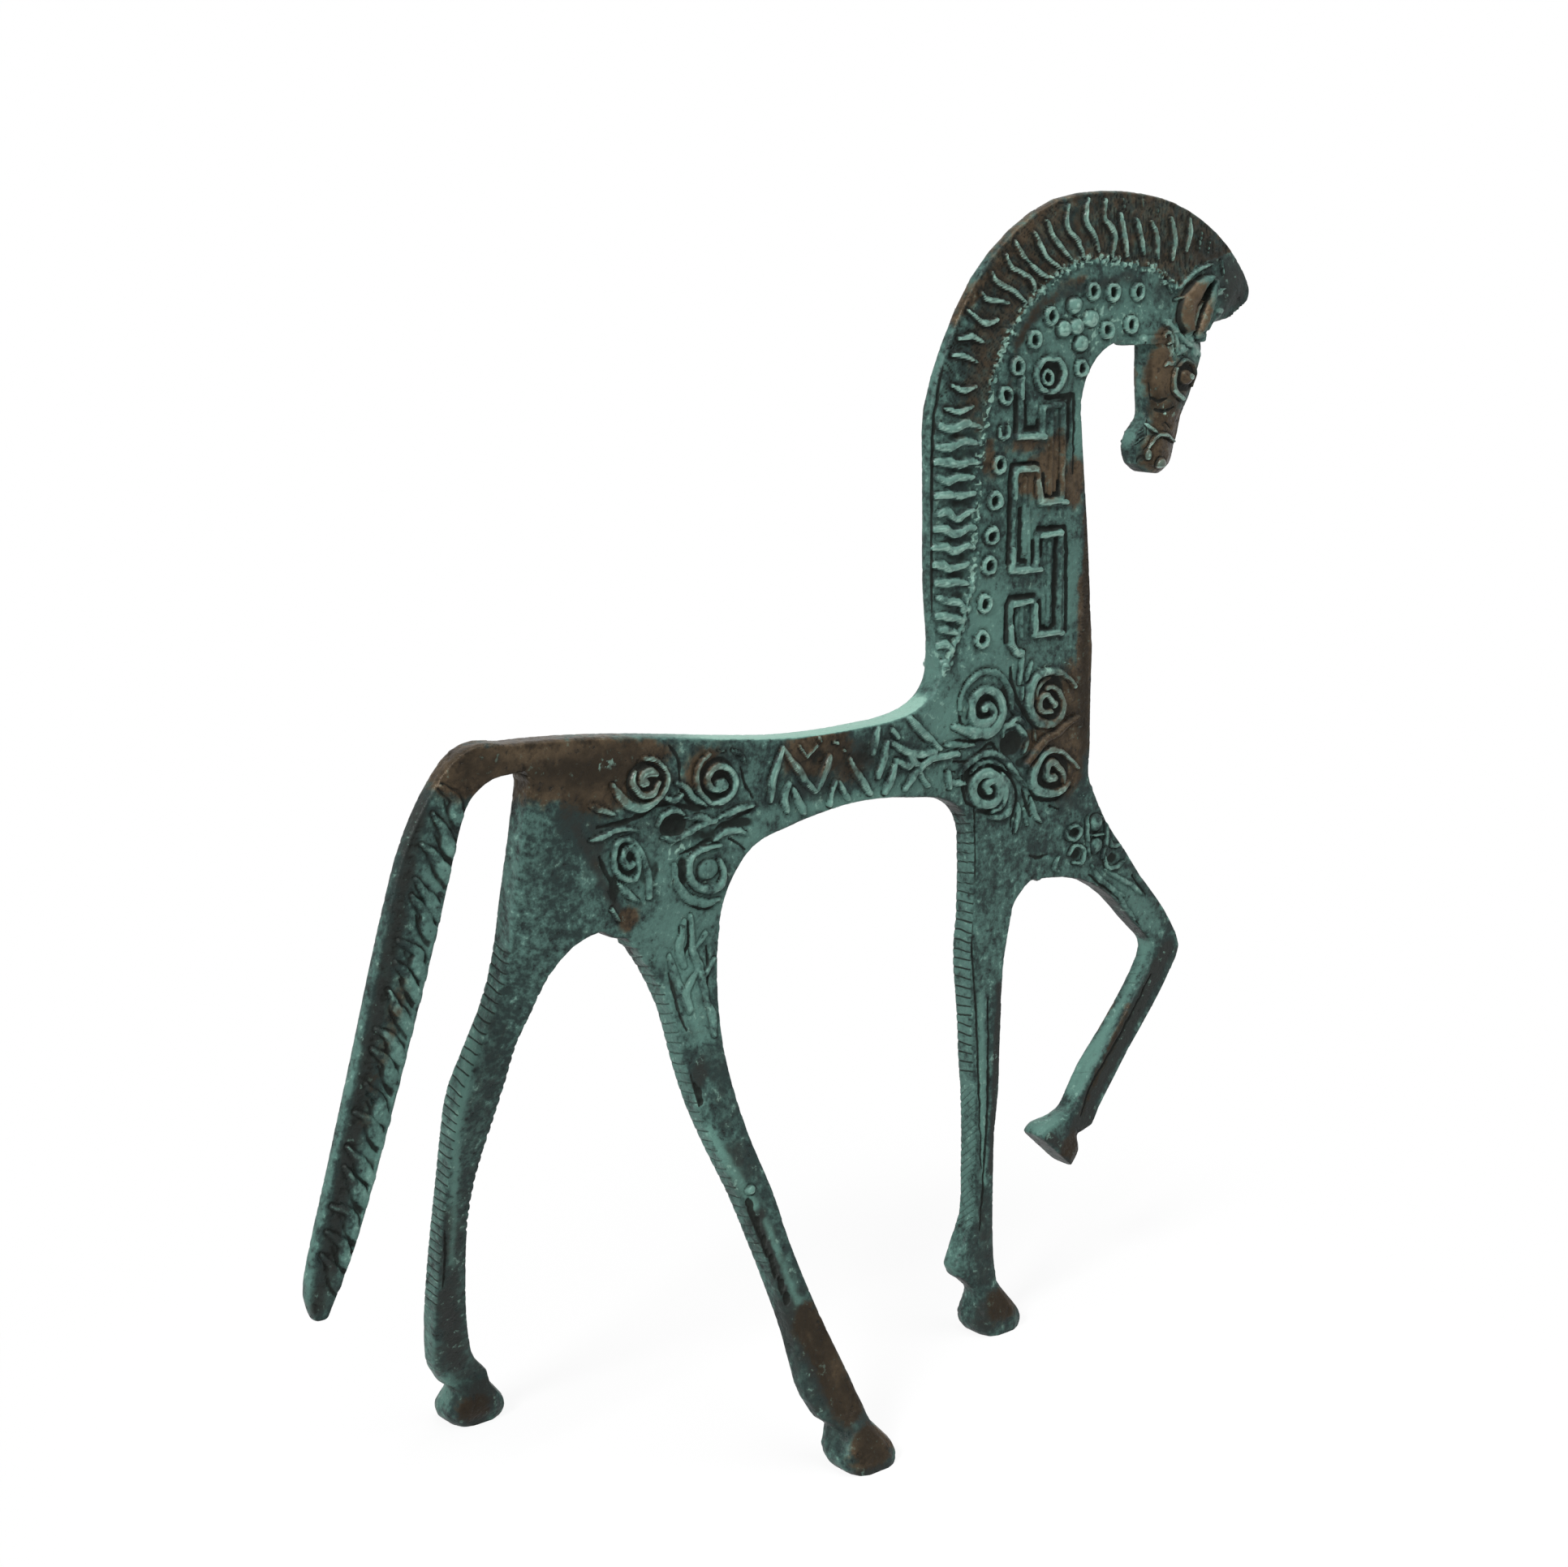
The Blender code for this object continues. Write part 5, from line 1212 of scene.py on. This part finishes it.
class Wire:
    """A shader socket that takes part in Python arithmetic."""

    def __init__(self, finish, socket):
        self.finish = finish
        self.socket = socket

    def maths(self, operation, *values):
        """A sum, a product and the like of numbers and wires."""
        return self.finish.node("ShaderNodeMath", {"operation": operation}, dict(enumerate(values)))

    def __add__(self, other):
        return self.maths("ADD", self, other)

    def __radd__(self, other):
        return self.maths("ADD", other, self)

    def __sub__(self, other):
        return self.maths("SUBTRACT", self, other)

    def __rsub__(self, other):
        return self.maths("SUBTRACT", other, self)

    def __mul__(self, other):
        return self.maths("MULTIPLY", self, other)

    def __rmul__(self, other):
        return self.maths("MULTIPLY", other, self)

    def at_least(self, other):
        """The larger of two."""
        return self.maths("MAXIMUM", self, other)


class Finish:
    """The nodes of one material or of the world."""

    def __init__(self, owner):
        owner.use_nodes = True
        self.tree = owner.node_tree
        self.tree.nodes.clear()

    def node(self, kind, settings=None, sockets=None, output=0):
        """Adds a node, with its settings first and then the values or wires of its sockets."""
        made = self.tree.nodes.new(kind)
        for name, value in (settings or {}).items():
            setattr(made, name, value)
        for key, value in (sockets or {}).items():
            if isinstance(value, Wire):
                self.tree.links.new(value.socket, made.inputs[key])
            else:
                made.inputs[key].default_value = value
        return Wire(self, made.outputs[output]) if made.outputs else None

    def kept(self, name):
        """A number that the skin keeps for each of its points."""
        return self.node("ShaderNodeAttribute", {"attribute_name": name}, output="Fac")

    def place(self):
        """Place on the casting in metres."""
        return self.node("ShaderNodeTexCoord", output="Object")

    def noise(self, size, detail=3.0, roughness=0.55, distortion=0.0):
        """Cloudy noise with lumps of about the given size in metres."""
        sockets = {"Scale": 1 / size, "Detail": detail, "Roughness": roughness, "Distortion": distortion}
        sockets["Vector"] = self.place()
        return self.node("ShaderNodeTexNoise", sockets=sockets)

    def rise(self, value, low, high):
        """0 below low, 1 above high."""
        sockets = {"Value": value, "From Min": low, "From Max": high}
        return self.node("ShaderNodeMapRange", {"interpolation_type": "SMOOTHSTEP"}, sockets)

    def mix(self, share, below, above):
        """Colour between two colours."""
        sockets = {"Factor": share, COLOUR_BELOW: below, COLOUR_ABOVE: above}
        return self.node("ShaderNodeMix", {"data_type": "RGBA"}, sockets, COLOUR_MIXED)


def patina(name, colours, brownness):
    """Cast bronze with verdigris on its relief, dirt in its cuts, brown where it is worn, and painted light
    and shade.
    """
    material = bpy.data.materials.new(name)
    finish = Finish(material)
    cloud = finish.noise(11.0 * MM, 4.0, 0.6)
    grain = finish.noise(2.6 * MM, 4.0, 0.66)
    patch = finish.noise(4.5 * MM, 3.0, 0.6, 0.4)
    speck = finish.noise(1.1 * MM, 3.0, 0.6)
    pale = finish.kept("pale")
    lip = finish.kept("lip")
    cut = finish.kept("cut")
    dim = finish.kept("dim")
    bright = finish.kept("bright")
    rim = finish.kept("rim")
    fine = grain * 0.6 + speck * 0.4
    # Green ground and brown bronze, each in two shades, lighter where the bright share holds painted light.
    worn = finish.kept("brown") + brownness
    brown = finish.rise(worn + (cloud - 0.5) * 0.5 + (fine - 0.5) * 0.9, 0.3, 0.7)
    lit = finish.rise(cloud * 0.2 + patch * 0.15 + fine * 0.65 + bright * 0.2 - dim * 0.1, 0.41, 0.59)
    ground = finish.mix(lit, colours.shade, colours.ground)
    rubbed_and_lit = finish.rise(fine * 0.7 + patch * 0.3 + bright * 0.2, 0.38, 0.64)
    bronze = finish.mix(rubbed_and_lit, colours.bronze_shade, colours.bronze)
    colour = finish.mix(brown, ground, bronze)
    # Soot where the dim share is high, with painted shade under down-facing edges, and verdigris on bright
    # ground, with painted light on the back and the rear faces, and on the relief.
    soot_and_shade = finish.rise(dim + (fine - 0.5) * 1.4, 0.3, 0.85)
    colour = finish.mix(soot_and_shade * 0.85, colour, finish.mix(brown, colours.dirt_and_shade, colours.bronze_shade))
    sheen = finish.rise(bright + (cloud - 0.5) * 0.5 + (fine - 0.5) * 0.4, 0.3, 0.95) * (1 - brown)
    colour = finish.mix(sheen * 0.5, colour, colours.verdigris)
    relief = finish.rise(pale + (fine - 0.5) * 0.9 + (cloud - 0.5) * 0.4, 0.28, 0.62)
    colour = finish.mix(relief * 0.7 * (1 - brown * 0.5), colour, colours.verdigris)
    # Bloom on dust and, as painted light, on the lower side and crest of each ridge and on the back; bloom
    # in flecks; and dirt in the cuts and pits over all of it.
    edge = finish.rise(lip + (fine - 0.5) * 1.0, 0.36, 0.74)
    colour = finish.mix(edge * 0.75, colour, colours.bloom_and_highlight)
    flecks = finish.rise(fine + bright * 0.04, 0.58, 0.66)
    colour = finish.mix(flecks * 0.4 * (1 - brown * 0.6), colour, colours.bloom_and_highlight)
    pits = finish.rise(fine, 0.41, 0.32) * (1 - bright * 0.8)
    grime = finish.rise(cut + (fine - 0.5) * 0.7, 0.28, 0.68).at_least(pits * 0.75 * (1 - relief * 0.7))
    colour = finish.mix(grime * 0.93, colour, colours.groove)
    surface = grain * 0.7 + speck * 0.4 - pits * 0.4
    bump = finish.node("ShaderNodeBump", sockets={"Strength": 0.9, "Distance": 0.5 * MM, "Height": surface})
    roughness = 0.46 - brown * 0.08 + grime * 0.25 - relief * 0.08 - rim * 0.04 + (fine - 0.5) * 0.4
    shader = finish.node(
        "ShaderNodeBsdfPrincipled",
        sockets={
            "Base Color": colour,
            "Roughness": roughness,
            "Metallic": brown * 0.25 * (1 - grime) * (1 - relief),
            "Normal": bump,
            "Specular IOR Level": 0.12,
            "Coat Weight": relief * 0.4 * (1 - grime),
            "Coat Roughness": 0.3,
        },
    )
    finish.node("ShaderNodeOutputMaterial", sockets={"Surface": shader})
    return material


def pin_bronze(colours):
    """Turned pin stock: plain bronze with fine lathe lines."""
    material = bpy.data.materials.new("pin_stock")
    finish = Finish(material)
    grain = finish.noise(0.8 * MM, 3.0)
    sockets = {"Scale": 900.0, "Distortion": 1.0, "Vector": finish.place()}
    lines = finish.node("ShaderNodeTexWave", {"bands_direction": "Z"}, sockets, "Fac")
    bump = finish.node("ShaderNodeBump", sockets={"Strength": 0.2, "Distance": 0.05 * MM, "Height": lines})
    shader = finish.node(
        "ShaderNodeBsdfPrincipled",
        sockets={
            "Base Color": finish.mix(grain, colours.pin, colours.bronze),
            "Roughness": 0.3 + grain * 0.2,
            "Metallic": 1.0,
            "Normal": bump,
        },
    )
    finish.node("ShaderNodeOutputMaterial", sockets={"Surface": shader})
    return material


def ready_material(name, make):
    """A material by name, made at its first use."""
    return bpy.data.materials.get(name) or make()


def verdigris_bronze(colours):
    """Green patina of most castings."""
    return ready_material("chased_verdigris", lambda: patina("chased_verdigris", colours, 0.0))


def worn_bronze(colours):
    """Browner patina of the head."""
    return ready_material("chased_brown", lambda: patina("chased_brown", colours, HEAD_BROWNNESS))


# Material of each slot of the castings.
CAST_MATERIALS = {"verdigris_bronze": verdigris_bronze, "worn_bronze": worn_bronze}


def seen_ray(finish):
    """1 for a ray that shows the background, straight or in a reflection."""
    path = finish.node("ShaderNodeLightPath")
    outputs = path.socket.node.outputs
    glossy = Wire(finish, outputs["Is Glossy Ray"])
    through = Wire(finish, outputs["Is Transmission Ray"])
    return path.at_least(glossy).at_least(through)


def floor_of(stage):
    """A wide pale floor that keeps the horse's shadow."""
    half = stage.floor_size / 2
    mesh = bpy.data.meshes.new("floor")
    corners = [(-half, -half, 0), (half, -half, 0), (half, half, 0), (-half, half, 0)]
    mesh.from_pydata(corners, [], [(0, 1, 2, 3)])
    material = bpy.data.materials.new("studio_floor")
    finish = Finish(material)
    paper = finish.node(
        "ShaderNodeBsdfPrincipled",
        sockets={"Base Color": stage.floor_colour, "Roughness": 0.9, "Specular IOR Level": 0.0},
    )
    white = finish.node("ShaderNodeEmission", sockets={"Color": (1, 1, 1, 1), "Strength": 1.0})
    away = finish.node("ShaderNodeVectorMath", {"operation": "LENGTH"}, {0: finish.place()}, "Value")
    bare = finish.rise(away, FADE_FROM, FADE_TO)
    share = seen_ray(finish) * (WHITE_NEAR + bare * (1 - WHITE_NEAR))
    shown = finish.node("ShaderNodeMixShader", sockets={0: share, 1: paper, 2: white})
    finish.node("ShaderNodeOutputMaterial", sockets={"Surface": shown})
    mesh.materials.append(material)
    floor = bpy.data.objects.new("floor", mesh)
    bpy.context.scene.collection.objects.link(floor)


def soft_lamp(name, place, size, power):
    """A square softbox that faces the horse."""
    lamp = bpy.data.lights.new(name, "AREA")
    lamp.shape = "SQUARE"
    lamp.size = size
    lamp.energy = power
    holder = bpy.data.objects.new(name, lamp)
    holder.location = place
    holder.rotation_euler = (Vector(LAMP_AIM) - Vector(place)).to_track_quat("-Z", "Y").to_euler()
    bpy.context.scene.collection.objects.link(holder)


def white_surround(scene, fill_light):
    """White all round, which lights the horse less than it shows."""
    scene.world = scene.world or bpy.data.worlds.new("surround")
    finish = Finish(scene.world)
    seen = seen_ray(finish)
    strength = fill_light + seen * (1 - fill_light)
    light = finish.node("ShaderNodeBackground", sockets={"Color": (1, 1, 1, 1), "Strength": strength})
    finish.node("ShaderNodeOutputWorld", sockets={"Surface": light})


def length(name, description, default):
    """A setting in metres."""
    return FloatProperty(name=name, description=description, default=default, unit="LENGTH", precision=5)


def colour(name, description, default):
    """A setting that holds an opaque colour."""
    return FloatVectorProperty(
        name=name, description=description, default=default + (1.0,), size=4, subtype="COLOR", min=0, max=1
    )


class HorseRelief(bpy.types.PropertyGroup):
    """Sizes of the cast relief and of the skins' meshes."""

    height: length("Relief height", "How far a full ridge stands above the ground", 0.85 * MM)
    cut_depth: length("Cut depth", "Depth of the moat along a ridge", 0.5 * MM)
    grain: length("Grain", "Height of the cast grain", 0.05 * MM)
    joint_overlap: length("Joint overlap", "How far a skin reaches over its joint", 1.1 * MM)
    body_grid: length("Body grid", "Mesh size on the body plate", 0.383 * MM)
    neck_grid: length("Neck grid", "Mesh size on the neck", 0.395 * MM)
    head_grid: length("Head grid", "Mesh size on the head", 0.22 * MM)
    tail_grid: length("Tail grid", "Mesh size on the tail", 0.28 * MM)
    leg_grid: length("Leg grid", "Mesh size on the legs", 0.28 * MM)
    soften_steps: IntProperty(
        name="Soften steps", description="Smoothing passes before chasing", default=8, min=0
    )


class HorsePatina(bpy.types.PropertyGroup):
    """Colours of the bronze and its patina."""

    ground: colour("Ground", "Grey green of the flat ground", (0.07, 0.142, 0.122))
    shade: colour("Shaded ground", "Darker grey green", (0.017, 0.0305, 0.0285))
    verdigris: colour("Verdigris", "Green on the relief", (0.112, 0.23, 0.192))
    bloom_and_highlight: colour("Bloom", "Palest verdigris", (0.25, 0.42, 0.35))
    bronze: colour("Bronze", "Worn brown bronze", (0.084, 0.06, 0.036))
    bronze_shade: colour("Bronze shade", "Darker brown bronze", (0.019, 0.0145, 0.0092))
    dirt_and_shade: colour("Dirt", "Dark brown of sheltered ground", (0.019, 0.021, 0.0188))
    groove: colour("Groove", "Nearly black dirt in the cuts", (0.009, 0.0108, 0.009))
    pin: colour("Pin", "Pin stock", (0.42, 0.27, 0.13))


class HorseStage(bpy.types.PropertyGroup):
    """Camera, lamps and floor."""

    camera_place: FloatVectorProperty(
        name="Camera place", description="Where the camera stands",
        default=(-0.37573, -0.44064, 0.27038), subtype="TRANSLATION",
    )
    heading: FloatProperty(
        name="Heading", description="Camera turn from +Y towards +X",
        default=math.radians(39.5), subtype="ANGLE",
    )
    pitch: FloatProperty(
        name="Pitch", description="Camera tilt downwards", default=math.radians(12.5), subtype="ANGLE"
    )
    lens: FloatProperty(
        name="Lens", description="Focal length on a 36 mm frame", default=61.49, unit="CAMERA"
    )
    floor_colour: colour("Floor", "Pale studio floor", (0.86, 0.86, 0.86))
    floor_size: length("Floor size", "Side of the square floor", 4.0)
    key_power: FloatProperty(
        name="Key lamp", description="Soft lamp on the camera's side", default=20.0, unit="POWER"
    )
    top_power: FloatProperty(
        name="Top lamp", description="Soft lamp overhead", default=12.0, unit="POWER"
    )
    fill_light: FloatProperty(
        name="Fill light", description="Brightness of the surrounding white", default=0.24
    )


class HorseSettings(bpy.types.PropertyGroup):
    """All settings of the horse."""

    relief: PointerProperty(type=HorseRelief)
    patina: PointerProperty(type=HorsePatina)
    stage: PointerProperty(type=HorseStage)


class HORSE_OT_body(bpy.types.Operator):
    """Cast the body plate with its whorls and zigzag"""

    bl_idname = "horse.body"
    bl_label = "Body plate"

    def execute(self, context):
        horse = context.scene.horse
        joints = [joint for joint in JOINT_PINS if joint != "head"]
        marks = (chase_shoulder, chase_haunch, chase_barrel, chase_fore, chase_hind, chase_neck, chase_tail)
        chased_casting(
            horse, "body_skin", "body_plate", joints, horse.relief.body_grid, marks,
            notches=((rungs, *BODY_RUNGS),),
        )
        return {"FINISHED"}


class HORSE_OT_neck(bpy.types.Operator):
    """Cast the neck with its mane, rings and meander"""

    bl_idname = "horse.neck"
    bl_label = "Neck and mane"

    def execute(self, context):
        horse = context.scene.horse
        marks = (chase_neck, chase_mane, chase_head, chase_shoulder)
        chased_casting(horse, "neck_skin", "neck", ("neck", "head"), horse.relief.neck_grid, marks)
        return {"FINISHED"}


class HORSE_OT_head(bpy.types.Operator):
    """Cast the worn head"""

    bl_idname = "horse.head"
    bl_label = "Head"

    def execute(self, context):
        horse = context.scene.horse
        marks = (chase_neck, chase_head)
        chased_casting(horse, "head_skin", "head", ("head",), horse.relief.head_grid, marks, "worn_bronze")
        return {"FINISHED"}


class HORSE_OT_tail(bpy.types.Operator):
    """Cast the tail with its flame strokes"""

    bl_idname = "horse.tail"
    bl_label = "Tail"

    def execute(self, context):
        horse = context.scene.horse
        chased_casting(horse, "tail_skin", "tail", ("tail",), horse.relief.tail_grid, (chase_tail,))
        return {"FINISHED"}


class HORSE_OT_hind_legs(bpy.types.Operator):
    """Cast the two splayed hind legs"""

    bl_idname = "horse.hind_legs"
    bl_label = "Hind legs"

    def execute(self, context):
        horse = context.scene.horse
        near = ((rungs, *NEAR_HIND_RUNGS),)
        far = ((teeth, *FAR_HIND_TEETH), (rungs, *FAR_HIND_RUNGS))
        for side, notches in (("right", near), ("left", far)):
            chased_casting(
                horse, f"{side}_hind_skin", f"{side}_hind_leg", (f"{side}_hind",), horse.relief.leg_grid,
                (chase_haunch, chase_hind), splayed=True, notches=notches,
            )
        return {"FINISHED"}


class HORSE_OT_fore_legs(bpy.types.Operator):
    """Cast the standing and the raised fore leg"""

    bl_idname = "horse.fore_legs"
    bl_label = "Fore legs"

    def execute(self, context):
        horse = context.scene.horse
        standing = ((rungs, *STANDING_UPPER_RUNGS), (rungs, *STANDING_LOWER_RUNGS))
        raised = ((rungs, *RAISED_RUNGS),)
        for side, notches in (("left", standing), ("right", raised)):
            chased_casting(
                horse, f"{side}_fore_skin", f"{side}_fore_leg", (f"{side}_fore",), horse.relief.leg_grid,
                (chase_shoulder, chase_neck, chase_fore), notches=notches,
            )
        return {"FINISHED"}


class HORSE_OT_pins(bpy.types.Operator):
    """Give the joint pins their finish"""

    bl_idname = "horse.pins"
    bl_label = "Joint pins"

    def execute(self, context):
        material = ready_material("pin_stock", lambda: pin_bronze(context.scene.horse.patina))
        for joint in JOINT_PINS:
            for pin in joint_pins(joint):
                pin.materials.clear()
                pin.materials.append(material)
        return {"FINISHED"}


class HORSE_OT_stage(bpy.types.Operator):
    """Set the floor, the lamps, the white surround and the camera"""

    bl_idname = "horse.stage"
    bl_label = "Stage"

    def execute(self, context):
        scene = context.scene
        stage = scene.horse.stage
        scene.view_settings.view_transform = "Standard"
        floor_of(stage)
        soft_lamp("key_lamp", KEY_LAMP_PLACE, KEY_LAMP_SIZE, stage.key_power)
        soft_lamp("top_lamp", TOP_LAMP_PLACE, TOP_LAMP_SIZE, stage.top_power)
        white_surround(scene, stage.fill_light)
        camera = bpy.data.cameras.new("camera")
        camera.lens = stage.lens
        camera.sensor_width = FILM_WIDTH
        camera.sensor_fit = "HORIZONTAL"
        camera.clip_start = 10 * MM
        viewer = bpy.data.objects.new("camera", camera)
        turn = Matrix.Rotation(-stage.heading, 4, "Z") @ Matrix.Rotation(math.pi / 2 - stage.pitch, 4, "X")
        viewer.matrix_world = Matrix.Translation(stage.camera_place) @ turn
        scene.collection.objects.link(viewer)
        scene.camera = viewer
        return {"FINISHED"}


class HORSE_PT_panel(bpy.types.Panel):
    """Settings and steps of the horse"""

    bl_idname = "HORSE_PT_panel"
    bl_label = "Bronze horse"
    bl_space_type = "VIEW_3D"
    bl_region_type = "UI"
    bl_category = "Horse"

    def draw(self, context):
        horse = context.scene.horse
        for heading, group in (("Relief", horse.relief), ("Patina", horse.patina), ("Stage", horse.stage)):
            box = self.layout.box()
            box.label(text=heading)
            for name in group.__annotations__:
                box.prop(group, name)
        for step in STEPS:
            self.layout.operator(step.bl_idname)


STEPS = (
    HORSE_OT_body,
    HORSE_OT_neck,
    HORSE_OT_head,
    HORSE_OT_tail,
    HORSE_OT_hind_legs,
    HORSE_OT_fore_legs,
    HORSE_OT_pins,
    HORSE_OT_stage,
)
CLASSES = (HorseRelief, HorsePatina, HorseStage, HorseSettings, HORSE_PT_panel) + STEPS


def register():
    """Makes the settings and steps known to Blender."""
    for each in CLASSES:
        bpy.utils.register_class(each)
    bpy.types.Scene.horse = PointerProperty(type=HorseSettings)


def unregister():
    """Takes the settings and steps out of Blender again."""
    del bpy.types.Scene.horse
    for each in reversed(CLASSES):
        bpy.utils.unregister_class(each)


def main():
    """Runs every step."""
    register()
    for step in STEPS:
        group, name = step.bl_idname.split(".")
        getattr(getattr(bpy.ops, group), name)()


if __name__ == "__main__":
    main()
